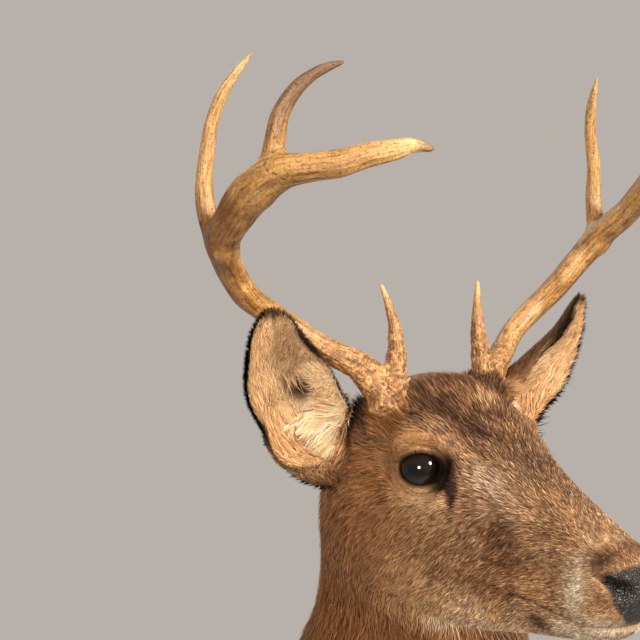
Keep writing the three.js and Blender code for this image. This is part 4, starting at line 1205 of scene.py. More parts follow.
def antler_mesh(s):
    horns = [Horn(BEAM, s, True), Horn(BROW, s, False), Horn(SECOND, s, False), Horn(THIRD, s, False)]
    h = 1.25
    allc = np.concatenate([g.c for g in horns])
    lo = allc.min(0) - 24
    n = ((allc.max(0) + 24 - lo) / h).astype(int) + 1
    F = None
    for gi, g in enumerate(horns):
        G = np.full(tuple(n), 60.0, np.float32)
        for k in range(len(g.u) - 1):
            c, T, S, O = g.c[k], g.T[k], g.S[k], g.O[k]
            r0, r1, pm = g.r[k], g.r[k + 1], g.palm[k]
            L = np.linalg.norm(g.c[k + 1] - c)
            reach = r0 * pm + 9
            a = np.maximum(((c - reach - lo) / h).astype(int), 0)
            b = np.minimum(((c + reach - lo) / h).astype(int) + 2, n)
            X = [lo[i] + h * np.arange(a[i], b[i]) - c[i] for i in range(3)]
            qx, qy, qz = X[0][:, None, None], X[1][None, :, None], X[2][None, None, :]
            al = qx * T[0] + qy * T[1] + qz * T[2]
            cs = qx * S[0] + qy * S[1] + qz * S[2]
            co = qx * O[0] + qy * O[1] + qz * O[2]
            t = np.clip(al / L, 0, 1)
            d = np.sqrt((cs / pm) ** 2 + (co * pm) ** 2 + (al - t * L) ** 2) - (r0 + (r1 - r0) * t)
            blk = G[a[0]:b[0], a[1]:b[1], a[2]:b[2]]
            np.minimum(blk, d, out=blk)
        F = G if F is None else -smax(-F, -G, 7.0 if gi != 1 else 5.0)
    import openvdb
    grid = openvdb.FloatGrid(60.0)
    grid.copyFromArray(np.ascontiguousarray(F, np.float32))
    pts, quads = grid.convertToQuads(isovalue=0.0)
    V = np.array(pts, float) * h + lo
    Q = np.array(quads, np.int64)
    # nearest place on the horns for every vertex
    from mathutils import kdtree
    gap, near_i = np.full((len(horns), len(V)), 99.0), np.zeros((len(horns), len(V)), int)
    for k, g in enumerate(horns):
        kd = kdtree.KDTree(len(g.u))
        for i in range(len(g.u)):
            kd.insert(g.c[i], i)
        kd.balance()
        lo_, hi_ = g.c.min(0) - 26, g.c.max(0) + 26
        for i in np.where(((V > lo_) & (V < hi_)).all(1))[0]:
            _, m, dd_ = kd.find(V[i])
            near_i[k, i], gap[k, i] = m, dd_ - g.r[m]
    # a tine wins over the beam only where its own surface shows
    gi = np.argmin(gap + np.array([0.0, 2.0, 2.5, 2.5])[:, None], 0)
    ii = near_i[gi, np.arange(len(V))]
    srt = np.sort(gap, 0)
    calm = sstep(srt[1] - srt[0], 0.5, 7.0)
    c = np.stack([horns[a].c[b] for a, b in zip(gi, ii)])
    T_ = np.stack([horns[a].T[b] for a, b in zip(gi, ii)])
    S_ = np.stack([horns[a].S[b] for a, b in zip(gi, ii)])
    O_ = np.stack([horns[a].O[b] for a, b in zip(gi, ii)])
    u = np.array([horns[a].u[b] for a, b in zip(gi, ii)])
    Ls = np.array([g.len for g in horns])[gi]
    q = V - c
    q = q - (q * T_).sum(1, keepdims=True) * T_
    cs, co = (q * S_).sum(1), (q * O_).sum(1)
    th = np.arctan2(co, cs)
    nrm = unit(q)
    dist = u * Ls
    # weights: base of beam and brow tine are pearled, tips are smooth
    beam = gi == 0
    base_w = np.where(beam, 1 - sstep(dist, 34, 150), np.where(gi == 1, (1 - sstep(dist, 25, 85)) * 0.9, 0.0))
    tip_w = np.where(beam, sstep(u, 0.86, 1.0), np.where(gi == 1, sstep(u, 0.72, 1.0), sstep(u, 0.62, 1.0)))
    P3 = V * np.array([1, 1, 1.0])
    cell = fbm(P3, 3.6, 31 + int(s), 2)
    cell2 = noise(P3, 2.2, 37 + int(s))
    ridge = 1 - np.abs(noise(np.stack([np.cos(th) * 2.6, np.sin(th) * 2.6, dist / 7.5], 1), 0.62, 29 + int(s))) * 2.6
    pearl = sstep(cell, 0.08, 0.45) * 0.55 + 0.35 * sstep(cell2, 0.1, 0.6) + 0.75 * sstep(ridge, 0.1, 0.95) * sstep(fbm(P3, 9, 33, 2), -0.5, 0.3)
    gv = np.stack([np.cos(th) * 2.3, np.sin(th) * 2.3, dist / 46.0 + gi * 7.3], 1)
    groove = noise(gv, 0.55, 41 + int(s)) + 0.6 * noise(gv, 0.28, 43)
    gr = -sstep(-groove, 0.18, 0.95)
    burr = np.where(beam, np.exp(-((dist - 21) / 4.8) ** 2), 0)
    lumps = 0.55 * fbm(P3, 20, 47, 2)
    disp = pearl * base_w * 1.35 + gr * (0.95 * (1 - tip_w) * (0.45 + 0.55 * base_w + 0.1)) + lumps + burr * (2.2 + 2.4 * cell) - 0.5
    disp = disp * (1 - 0.8 * tip_w)
    V2 = V + nrm * disp[:, None]
    # colour
    base = np.tile(np.array((180, 140, 86), float), (len(V), 1))

    def mix(k, col):
        nonlocal base
        base = base + (np.array(col, float) - base) * np.clip(k, 0, 1)[:, None]

    wide = fbm(np.stack([P3[:, 0], P3[:, 1], P3[:, 2]], 1), 46, 53, 3)
    mix(sstep(wide, -0.05, 0.5) * 0.5, (212, 176, 122))
    mix(sstep(-wide, 0.05, 0.5) * 0.5 * (1 - tip_w), (126, 86, 42))
    streak = noise(gv * np.array([1, 1, 0.8]), 0.33, 59)
    mix(sstep(streak, 0.0, 0.8) * 0.5 * (1 - tip_w), (104, 70, 34))
    mix(base_w * 0.7, (196, 154, 112))
    mix(np.where(gi == 2, sstep(u, 0.1, 0.4), 0) * 0.35, (222, 182, 130))
    mix(base_w * sstep(pearl, 0.6, 1.3) * 0.7, (222, 182, 132))
    mix(base_w * sstep(-pearl, -0.30, -0.02) * 0.7, (104, 68, 40))
    mix(-gr * 0.55 * (1 - tip_w) * (0.4 + 0.6 * base_w), (112, 74, 40))
    stain = np.where(beam, np.exp(-((u - 0.50) / 0.12) ** 2) + 0.6 * np.exp(-((u - 0.62) / 0.03) ** 2), np.where(gi >= 2, np.exp(-((u - 0.08) / 0.16) ** 2), 0))
    mix(stain * sstep(fbm(P3, 13, 61, 4) + 0.35 * np.cos(th - 2.6), -0.45, 0.35) * 0.88, (98, 58, 17))
    mix(np.where(gi == 3, sstep(u, 0.2, 0.7), 0) * 0.85, (112, 86, 66))
    mix(np.where(gi == 3, 0, tip_w) * 0.8, (228, 198, 150))
    mix(np.where(beam, sstep(u, 0.965, 1.0), 0) * 0.7, (120, 88, 62))
    fine = fbm(P3, 3.2, 67, 2)
    base = base * np.array([0.95, 0.93, 0.885]) * (1 + 0.10 * fine)[:, None]
    grain = np.stack([np.cos(th) * 11.0, np.sin(th) * 11.0, dist * 0.11 + gi * 31.0], 1) * 0.001
    return V2 * np.array([1, s, 1]), Q, lin(np.clip(base, 8, 250)), grain, base_w, calm


for s, side in ((-1, "right"), (1, "left")):
    V, Q, c, grain, rough_w, calm = antler_mesh(s)
    V = row(V)
    if volume(V - V.mean(0), [Q]) < 0:
        Q = Q[:, ::-1]
    ob = mesh_object("antler_" + side, V, [Q], col=c, mats=[MAT["antler_bone"]])
    ob.data.attributes.new("grain", "FLOAT_VECTOR", "POINT").data.foreach_set("vector", grain.astype(np.float32).ravel())
    ob.data.attributes.new("knobs", "FLOAT", "POINT").data.foreach_set("value", rough_w.astype(np.float32))
    ob.data.attributes.new("calm", "FLOAT", "POINT").data.foreach_set("value", calm.astype(np.float32))
    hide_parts(*["antler_%s_%s" % (side, k) for k in ("beam_lower", "beam_middle", "beam_end", "brow_tine", "second_tine", "third_tine")])
    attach(ob, "root")
    log("antler", side, len(V), len(Q))

# ------------------------------------------------------------------ board
for o in bpy.data.objects:
    if o.name.split(".")[0] == "backboard":
        o.data.materials.clear()
        o.data.materials.append(MAT["board_ply"])

# ------------------------------------------------------------------ the lie of the coat
def flat(v, n):
    return unit(v - (v * n).sum(-1, keepdims=True) * n)


Dg = np.empty_like(P)
Dg[1:-1] = P[2:] - P[:-2]
Dg[0], Dg[-1] = P[1] - P[0], P[-1] - P[-2]
Dg = flat(Dg, N)
fx = np.zeros_like(PH)
sy = np.sign(PH[..., 1]) * np.clip(np.abs(PH[..., 1]) / 12, 0, 1)
fx[..., 0] = -1
fx[..., 1] = sy * 0.16 * sstep(PH[..., 2], 10, 40)
fx[..., 2] = -1.25 * sstep(-PH[..., 2], -4, 50) * (1 - 0.75 * sstep(PH[..., 0], 60, 120)) + 0.16 * sstep(PH[..., 2], 26, 50)
for s in (-1, 1):
    mir = np.array([1, s, 1])
    p_, q_, h_ = eye_coords(PH * mir)
    r_ = np.hypot(p_, q_)
    w_ = np.exp(-(np.maximum(r_ - 16, 0) / 26) ** 2) * sstep(h_, -12, 0) * (PH[..., 1] * s > 15)
    f_ = fx * mir
    u1, u2 = f_ @ E1, f_ @ E2
    k_ = np.clip(20.0 ** 2 / np.maximum(r_, 1) ** 2, 0, 1)
    rx, ry = p_ / np.maximum(r_, 1e-6), q_ / np.maximum(r_, 1e-6)
    dot = u1 * rx + u2 * ry
    v1, v2 = u1 * (1 + k_) - 2 * k_ * dot * rx, u2 * (1 + k_) - 2 * k_ * dot * ry
    g_ = f_ + (v1 - u1)[..., None] * E1 + (v2 - u2)[..., None] * E2
    fx = fx * (1 - w_[..., None]) + g_ * mir * w_[..., None]
Fh = flat(dirrow(fx), N)
wn = sstep(ROWN, 0.0, 0.4)[:, None, None]
grav = np.array([0, 0, -1.0]) * (0.75 + 0.25 * sstep(ROWN, 0.8, 1.8))[:, None, None]
DIR = flat(Fh * (1 - wn) + flat(Dg + grav, N) * wn, N)

dP1, dP2 = P[1:] - P[:-1], np.roll(P, -1, 1) - P
AREA = np.linalg.norm(np.cross(dP1, dP2[:-1]), axis=-1)
VLEN = np.concatenate([[0], np.cumsum(np.linalg.norm(P[1:] - P[:-1], axis=-1).mean(1))])
VLEN = 0.01 + 0.98 * VLEN / VLEN[-1]


def bil(G, i, j, a, b):
    j2 = (j + 1) % C
    a, b = (a[:, None], b[:, None]) if G.ndim == 3 else (a, b)
    return (G[i, j] * (1 - a) + G[i + 1, j] * a) * (1 - b) + (G[i, j2] * (1 - a) + G[i + 1, j2] * a) * b


def scatter(n, weight):
    w = (AREA * weight).ravel()
    cum = np.cumsum(w)
    t = (np.arange(n) + rng.random(n)) / n * cum[-1]
    k = np.minimum(np.searchsorted(cum, t), len(w) - 1)
    i, j = k // C, k % C
    return i, j, rng.random(n), rng.random(n)


SPIKE_F = np.array([[0, 1, 2], [0, 3, 1], [1, 3, 2], [2, 3, 0]])
LOCK_F = np.array([[0, 1, 2], [0, 4, 1], [0, 3, 4], [1, 5, 2], [1, 4, 5], [2, 3, 0], [2, 5, 3], [3, 6, 4], [4, 6, 5], [5, 6, 3]])
COAT_COUNT = 0


def emit(name, root, n, d, length, width, lift, c0, c1, uv, curved=False, curl=None, bend=None, thick=0.35, wall=False):
    """joined closed tufts: three root corners, (three in the middle,) one tip"""
    global COAT_COUNT
    N0 = len(root)
    if wall:
        most = np.clip((-3.0 - root[:, 1]) / length, -0.9, 1.0)
        over = d[:, 1] > most
        rest = d[:, [0, 2]] * (np.sqrt(np.maximum(1 - most ** 2, 0)) / np.maximum(np.hypot(d[:, 0], d[:, 2]), 1e-6))[:, None]
        d = np.where(over[:, None], np.stack([rest[:, 0], most, rest[:, 1]], 1), d)
    b = unit(np.cross(n, d))
    L, W, lf = length[:, None], width[:, None], lift[:, None]
    th = W * thick
    side = 0.45 * (rng.random(N0) * 2 - 1)
    root = root - n * np.minimum(0.4, 0.07 * L)
    r0, r1, r2 = root - b * W / 2, root + b * W / 2, root + n * th
    dirn = d * np.cos(lf) + n * np.sin(lf)
    if not curved:
        V = np.stack([r0, r1, r2, root + dirn * L], 1)
        T = SPIKE_F
        cols = np.stack([c0, c0, c0, c1], 1)
        nr = np.stack([n - b * 0.75, n + b * 0.75, n * 1.0, n + d * 0.1 + b * side[:, None]], 1)
        pu = np.array([[-1, -1], [1, -1], [0, -0.6], [0, 1]]) * 0.0015
    else:
        bend = np.zeros(N0) if bend is None else bend
        curl = np.zeros(N0) if curl is None else curl
        m = root + (d * np.cos(lf * 1.25) + n * np.sin(lf * 1.25)) * L * 0.5 + b * (curl[:, None] * L * 0.10)
        l2 = lf * (0.75 - bend[:, None])
        tipp = m + (d * np.cos(l2) + n * np.sin(l2)) * L * 0.5 + b * (curl[:, None] * L * 0.16)
        V = np.stack([r0, r1, r2, m - b * W * 0.42, m + b * W * 0.42, m + n * th * 0.9, tipp], 1)
        T = LOCK_F
        cm = c0 * 0.35 + c1 * 0.65
        cols = np.stack([c0, c0, c0, cm, cm, cm, c1], 1)
        nr = np.stack([n - b * 0.75, n + b * 0.75, n, n - b * 0.75, n + b * 0.75, n, n + d * 0.1 + b * side[:, None]], 1)
        pu = np.array([[-1, -1], [1, -1], [0, -0.7], [-1, 0.2], [1, 0.2], [0, 0.35], [0, 1]]) * 0.0015
    k = V.shape[1]
    v0 = V[0]
    vol = sum(v0[t[0]] @ np.cross(v0[t[1]], v0[t[2]]) for t in T)
    cen = v0.mean(0)
    vol = sum((v0[t[0]] - cen) @ np.cross(v0[t[1]] - cen, v0[t[2]] - cen) for t in T)
    if vol < 0:
        T = T[:, ::-1]
    UV = uv[:, None] + pu[None]
    per = max(1, 186000 // len(T))
    parts = int(math.ceil(N0 / per))
    for q in range(parts):
        a, z = q * N0 // parts, (q + 1) * N0 // parts
        F = (np.arange(z - a)[:, None, None] * k + T[None]).reshape(-1, 3)
        ob = mesh_object("%s_%d" % (name, q + 1), V[a:z].reshape(-1, 3), [F], col=cols[a:z].reshape(-1, 3), normals=nr[a:z].reshape(-1, 3), uv=UV[a:z].reshape(-1, 2), mats=[MAT["hide_coat"]])
        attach(ob, "root")
        COAT_COUNT += len(F)


def beam_clear(h, r=15.0):
    """True where a head point is clear of the antler's base"""
    a, b = np.array([-45.0, 40, 24]), np.array([-62.0, 74, 66])
    q = h * np.array([1, 1, 1.0])
    q[:, 1] = np.abs(q[:, 1])
    t = np.clip(((q - a) @ (b - a)) / ((b - a) @ (b - a)), 0, 1)
    return np.linalg.norm(q - a - t[:, None] * (b - a), axis=1) > r


def lid_zone(h):
    """-1 outside, else 0..1 from the lid margin out over the lids; values under 0 lie in the opening"""
    out = np.full(len(h), 9.0)
    for s in (-1, 1):
        hs = h * np.array([1, s, 1])
        p, q, a = eye_coords(hs)
        ok = (np.hypot(p, q) < 40) & (a > -14) & (hs[:, 1] > 15)
        phi, rho = np.arctan2(q, p), np.hypot(p, q)
        re = LID_R * np.sin(lid_angle(phi) + LID_OUT)
        t = (rho - re) / lid_reach(phi)
        out = np.where(ok, np.minimum(out, t), out)
    return out


def shade(h, amount, fine):
    """value of each tuft: single hairs, small clumps, broad drifts"""
    return np.exp(amount * (0.55 * rng.standard_normal(len(h)) + 0.8 * noise(h, fine, 71) + 0.5 * noise(h, fine * 3.1, 73)))


def turn(d, n, ang):
    b = np.cross(n, d)
    return unit(d * np.cos(ang)[:, None] + b * np.sin(ang)[:, None])


def hair_colours(base, h, amount, fine, dark=0.25, pale=0.15, root_k=0.55):
    v = shade(h, amount, fine)[:, None]
    c = base * v
    k = rng.random(len(h))[:, None]
    c = c * np.exp((0.09 + 0.28 * amount) * rng.standard_normal(len(h)))[:, None]
    tip = np.where(k < dark, c * 0.33, np.where(k > 1 - pale, np.minimum(c * 1.30 + np.array([0.16, 0.114, 0.080]) * (0.25 + 2.2 * c.mean(1, keepdims=True)), 0.85), c * 1.08))
    # roots darker than tips: partly the hair's own dark base, partly painted shade between the hairs
    return c * np.where(k < dark, 0.26, root_k), tip


DENS = 1.0
THICKER = 1.0
len_by_x = spline([-20, 0, 30, 60, 90, 120, 140, 155, 170], [9.0, 7.4, 6.1, 5.7, 5.3, 4.8, 4.2, 3.6, 3.0])
wid_by_x = spline([-20, 20, 80, 130, 170], [1.12, 1.08, 0.98, 0.78, 0.5])

# ---- head: short straight tufts, smallest on the muzzle
wt = np.where((ROWN < 0.16), 1.0, 0.0)[:-1, None] * np.ones((1, C))
wt = wt * (1 + 1.3 * sstep(ROWX, 60, 150) + 1.6 * (ROWX > 190))[:-1, None]
i, j, a, b = scatter(int(100000 * DENS), wt)
rt, nn_, dd = bil(P, i, j, a, b), unit(bil(N, i, j, a, b)), bil(DIR, i, j, a, b)
hh = head(rt)
keep = beam_clear(hh, 12.0) & (bil(pad_mask, i, j, a, b) < 0.35) & (lid_zone(hh) > 0.93)
i, j, a, b, rt, nn_, dd, hh = [v[keep] for v in (i, j, a, b, rt, nn_, dd, hh)]
x_ = ROWX[i] + (ROWX[i + 1] - ROWX[i]) * a
x_ = np.where(ROWX[i] > 190, np.clip(hh[:, 0], 150, 175), x_)
num = bil(np.repeat(ROWN[:, None], C, 1), i, j, a, b)
ang = 0.24 * noise(hh, 17, 81) + 0.20 * noise(hh, 6.5, 83) + 0.11 * rng.standard_normal(len(rt))
dd = turn(flat(dd, nn_), nn_, ang)
ln = len_by_x(x_) * (0.75 + 0.5 * rng.random(len(rt))) * (1 + 0.35 * sstep(hh[:, 2], 30, 50) * sstep(-hh[:, 0], -20, 20)) * (1 + 0.5 * num / 0.16)
wd = wid_by_x(x_) * (0.75 + 0.5 * rng.random(len(rt))) * THICKER
dp = np.where(x_ > X0, np.maximum(coat_by_x(np.minimum(x_, 165)), 0.9), 3.4)
lift = np.arcsin(np.clip(dp * (0.35 + 0.8 * rng.random(len(rt))) / ln, 0.05, 0.5))
base = marking(head(rt + dd * (ln * 0.6)[:, None]), nn_, num)
griz = 0.17 + 0.19 * sstep(hh[:, 0], -30, 30) + 0.10 * sstep(hh[:, 2], 10, 40)
c0, c1 = hair_colours(base, hh, 0.32 + 0.34 * np.maximum(sstep(hh[:, 0], -5, 35), sstep(hh[:, 2], 20, 36)), 2.4, (griz * (1 + 0.6 * noise(hh, 8, 77)))[:, None], 0.26, 0.36)
uv = np.stack([0.01 + 0.98 * (j + b) / C, VLEN[i] + (VLEN[i + 1] - VLEN[i]) * a], 1)
emit("coat_head", rt, nn_, dd, ln, wd, lift, c0, c1, uv)
log("head coat", len(rt))

# ---- longer hair standing round the foot of each antler, and the dark tuft behind it
A0_, A1_ = np.array([-45.0, 40, 24]), np.array([-62.0, 74, 66])
AX = unit(A1_ - A0_)
q = PH * 1.0
q[..., 1] = np.abs(q[..., 1])
t_ = (q - A0_) @ AX
ring = np.linalg.norm(q - A0_ - t_[..., None] * AX, axis=-1)
on = ((ROWN < 0.45) & (ROWX < 30))[:, None]
w1 = (np.exp(-((ring - 15.5) / 3.6) ** 2) * (ring > 11.0) * (t_ > -25) * (t_ < 40)) * on
w2 = np.exp(-(((q[..., 0] + 78) / 20) ** 2 + ((q[..., 1] - 50) / 18) ** 2 + ((q[..., 2] - 14) / 18) ** 2)) * on
g1, g2 = scatter(int(4600 * DENS), w1[:-1]), scatter(int(3000 * DENS), w2[:-1])
i, j, a, b = [np.concatenate([p_, q_]) for p_, q_ in zip(g1, g2)]
collar = np.arange(len(i)) < len(g1[0])
rt, nn_, dd = bil(P, i, j, a, b), unit(bil(N, i, j, a, b)), bil(DIR, i, j, a, b)
hh = head(rt)
sg = np.sign(hh[:, 1])
q = hh * np.stack([np.ones(len(hh)), sg, np.ones(len(hh))], 1)
t_ = (q - A0_) @ AX
rad_v = q - A0_ - t_[:, None] * AX
ring = np.linalg.norm(rad_v, axis=1)
back_w = np.clip(1.6 * np.exp(-(((q[:, 0] + 80) / 18) ** 2 + ((q[:, 1] - 50) / 18) ** 2 + ((q[:, 2] - 14) / 18) ** 2)), 0, 1)
stand = np.where(collar, 1.0, np.exp(-((ring - 13) / 7.0) ** 2))
back_w = back_w * (~collar)
want = AX * 1.0 + unit(rad_v) * 0.10
want = want * (1 - back_w[:, None]) + np.array([-0.15, 0.60, 0.90]) * back_w[:, None]
want = dirrow(want * np.stack([np.ones(len(hh)), sg, np.ones(len(hh))], 1))
kk = np.clip(0.20 + 0.62 * stand + 0.5 * back_w, 0, 0.95)[:, None]
d3 = unit(dd * (1 - kk) + want * kk)
d3 = unit(d3 - np.minimum((d3 * nn_).sum(1, keepdims=True), 0) * nn_ * 1.2 + 0.10 * rng.standard_normal((len(hh), 3)))
ln = (7.5 + 7.0 * stand) * (0.62 + 0.55 * rng.random(len(hh))) + back_w * (5 + 10 * rng.random(len(hh)))
wd = (0.95 + 0.35 * back_w) * (0.75 + 0.5 * rng.random(len(hh))) * THICKER
base = marking(hh, nn_, np.zeros(len(hh)))
# painted light: the collar's outer side is painted lighter orange-brown, as lit by the lamp
lit_side_w = (collar * sstep(q[:, 1], 44, 56))[:, None]
base = np.where(collar[:, None], lin((98, 64, 40)) * (1 - lit_side_w) + lin((150, 100, 58)) * lit_side_w, base)
c0, c1 = hair_colours(base, hh, 0.32, 3.0, 0.3, 0.12, 0.5)
uv = np.stack([0.01 + 0.98 * (j + b) / C, VLEN[i] + (VLEN[i + 1] - VLEN[i]) * a], 1)
emit("coat_pedicle", rt, flat(nn_, d3), d3, ln, wd, np.full(len(hh), 0.03), c0, c1, uv, curved=True, curl=rng.standard_normal(len(hh)) * 0.6, bend=0.8 * np.ones(len(hh)))

# ---- lids and the ring round the eye: very short hair following the lids
for s, side in ((-1, "right"), (1, "left")):
    mir = np.array([1, s, 1])
    n_ = int(10500 * DENS)
    phi, t = rng.random(n_) * 2 * math.pi, -0.05 + 1.09 * rng.random(n_) ** 0.66
    re = LID_R * np.sin(lid_angle(phi) + LID_OUT)
    rho = re + lid_reach(phi) * t

    def lid_at(rho, phi):
        p, q = rho * np.cos(phi), rho * np.sin(phi)
        return EYE_AT + lid_height(p, q)[0][:, None] * EA + p[:, None] * E1 + q[:, None] * E2

    p0, p1, p2 = lid_at(rho, phi), lid_at(rho + 0.6, phi), lid_at(rho, phi + 0.03)
    n3 = unit(np.cross(p1 - p0, p2 - p0))
    n3 = np.where((n3 @ EA)[:, None] < 0, -n3, n3)
    r1_, r2_ = np.cos(phi), np.sin(phi)
    u1, u2 = -1.0, -0.05
    k_ = np.clip((re - 2) ** 2 / rho ** 2, 0, 1)
    dot = u1 * r1_ + u2 * r2_
    v = (u1 * (1 + k_) - 2 * k_ * dot * r1_)[:, None] * E1 + (u2 * (1 + k_) - 2 * k_ * dot * r2_)[:, None] * E2
    v = v + 0.35 * (r1_[:, None] * E1 + r2_[:, None] * E2)
    d3 = flat(v, n3)
    d3 = turn(d3, n3, 0.14 * rng.standard_normal(n_))
    ln = (3.0 + 4.6 * np.maximum(t, 0)) * (0.75 + 0.5 * rng.random(n_))
    wd = (0.6 + 0.5 * np.maximum(t, 0)) * (0.8 + 0.4 * rng.random(n_)) * THICKER
    lift = np.arcsin(np.clip((0.7 + 2.2 * np.maximum(t, 0)) * (0.6 + 0.6 * rng.random(n_)) / ln, 0.12, 0.45))
    gland_shade = gland_and_pit_shade_at(phi, t)[:, None]
    margin = 0.02 + 0.10 * np.exp(-((np.abs(phi) % (2 * math.pi)) / 0.6) ** 2)
    base = marking(p0 + d3 * (ln * 0.6)[:, None], n3, np.zeros(n_)) * (0.42 + 0.58 * sstep(t, 0.0, margin + 0.06))[:, None]
    # the lid hair at the eye's front corner is painted near black: the gland's dark skin and painted shade of the pit
    # there
    base = base * (1 - gland_shade) + lin((32, 17, 8)) * gland_shade
    c0, c1 = hair_colours(base, p0, 0.26, 2.6, 0.24, 0.18 * (1 - gland_shade), 0.5)
    uv = np.stack([0.5 + 0.45 * t * np.cos(phi), 0.5 + 0.45 * t * np.sin(phi)], 1)
    emit("coat_lids_" + side, row(p0 * mir), dirrow(n3 * mir), dirrow(d3 * mir), ln, wd, lift, c0, c1, uv)
    # lashes on the upper lid
    n_ = 70
    phi = np.linspace(0.25, math.pi - 0.15, n_) + 0.02 * rng.standard_normal(n_)
    al = lid_angle(phi) + 1.5 * rad
    outw = np.cos(phi)[:, None] * E1 + np.sin(phi)[:, None] * E2
    p0 = EYE_AT + (EYE_R + 1.1) * (np.cos(al)[:, None] * EA + np.sin(al)[:, None] * outw)
    d3 = unit(EA * 0.55 + outw * 0.75 + E1 * 0.25 - E2 * 0.35)
    n3 = flat(outw, d3)
    emit("lashes_" + side, row(p0 * mir), dirrow(n3 * mir), dirrow(d3 * mir), 6.5 + 3 * rng.random(n_), np.full(n_, 0.34), np.full(n_, 0.12), np.tile(lin((18, 13, 10)), (n_, 1)), np.tile(lin((30, 20, 14)), (n_, 1)), np.stack([phi / 7, 0 * phi + 0.5], 1), curved=True, bend=np.full(n_, 1.6))

# ---- neck and shoulders: longer curved locks over straight ones
for under_, n_ in ((True, 44000), (False, 35000)):
    wt = np.where((ROWN > 0.10), 1.0, 0.0)[:-1, None] * np.ones((1, C)) * (1.35 - 0.5 * sstep(ROWN, 0.3, 1.5))[:-1, None]
    i, j, a, b = scatter(int(n_ * DENS), wt)
    rt, nn_, dd = bil(P, i, j, a, b), unit(bil(N, i, j, a, b)), bil(DIR, i, j, a, b)
    hh = head(rt)
    num = bil(np.repeat(ROWN[:, None], C, 1), i, j, a, b)
    keep = beam_clear(hh, 12.0)
    i, j, a, b, rt, nn_, dd, hh, num = [v[keep] for v in (i, j, a, b, rt, nn_, dd, hh, num)]
    ang = 0.20 * noise(rt, 42, 91) + 0.17 * noise(rt, 13, 93) + 0.10 * rng.standard_normal(len(rt))
    dd = turn(flat(dd, nn_), nn_, ang)
    ln = spline([0.1, 0.3, 0.6, 1.0, 1.5, 2.0], [9.5, 12, 16, 22, 27, 26])(num) * (0.72 + 0.5 * rng.random(len(rt)))
    ln = ln * (1 - 0.45 * sstep(num, 1.55, 2.0))
    wd = spline([0.1, 0.4, 1.0, 2.0], [0.85, 1.0, 1.3, 1.7])(num) * (0.7 + 0.55 * rng.random(len(rt))) * THICKER
    dp = coat_by_n(num) * (0.9 if under_ else 1.0)
    lift = np.arcsin(np.clip(dp * (0.40 + 0.65 * rng.random(len(rt))) / ln, 0.06, 0.42))
    base = marking(head(rt + dd * (ln * 0.5)[:, None]), nn_, num)
    far_ = sstep(num, 0.3, 1.0)
    c0, c1 = hair_colours(base, rt, 0.24, 3.0, (0.18 - 0.06 * far_)[:, None], (0.20 - 0.10 * far_)[:, None], 0.5)
    uv = np.stack([0.01 + 0.98 * (j + b) / C, VLEN[i] + (VLEN[i + 1] - VLEN[i]) * a], 1)
    if under_:
        emit("coat_neck_under", rt, nn_, dd, ln, wd, lift, c0, c1, uv, wall=True)
    else:
        emit("coat_neck", rt, nn_, dd, ln, wd, lift, c0, c1, uv, curved=True, wall=True, curl=0.5 * noise(rt, 11, 95) + 0.5 * rng.standard_normal(len(rt)), bend=0.3 * rng.random(len(rt)))
    log("neck coat", len(rt))

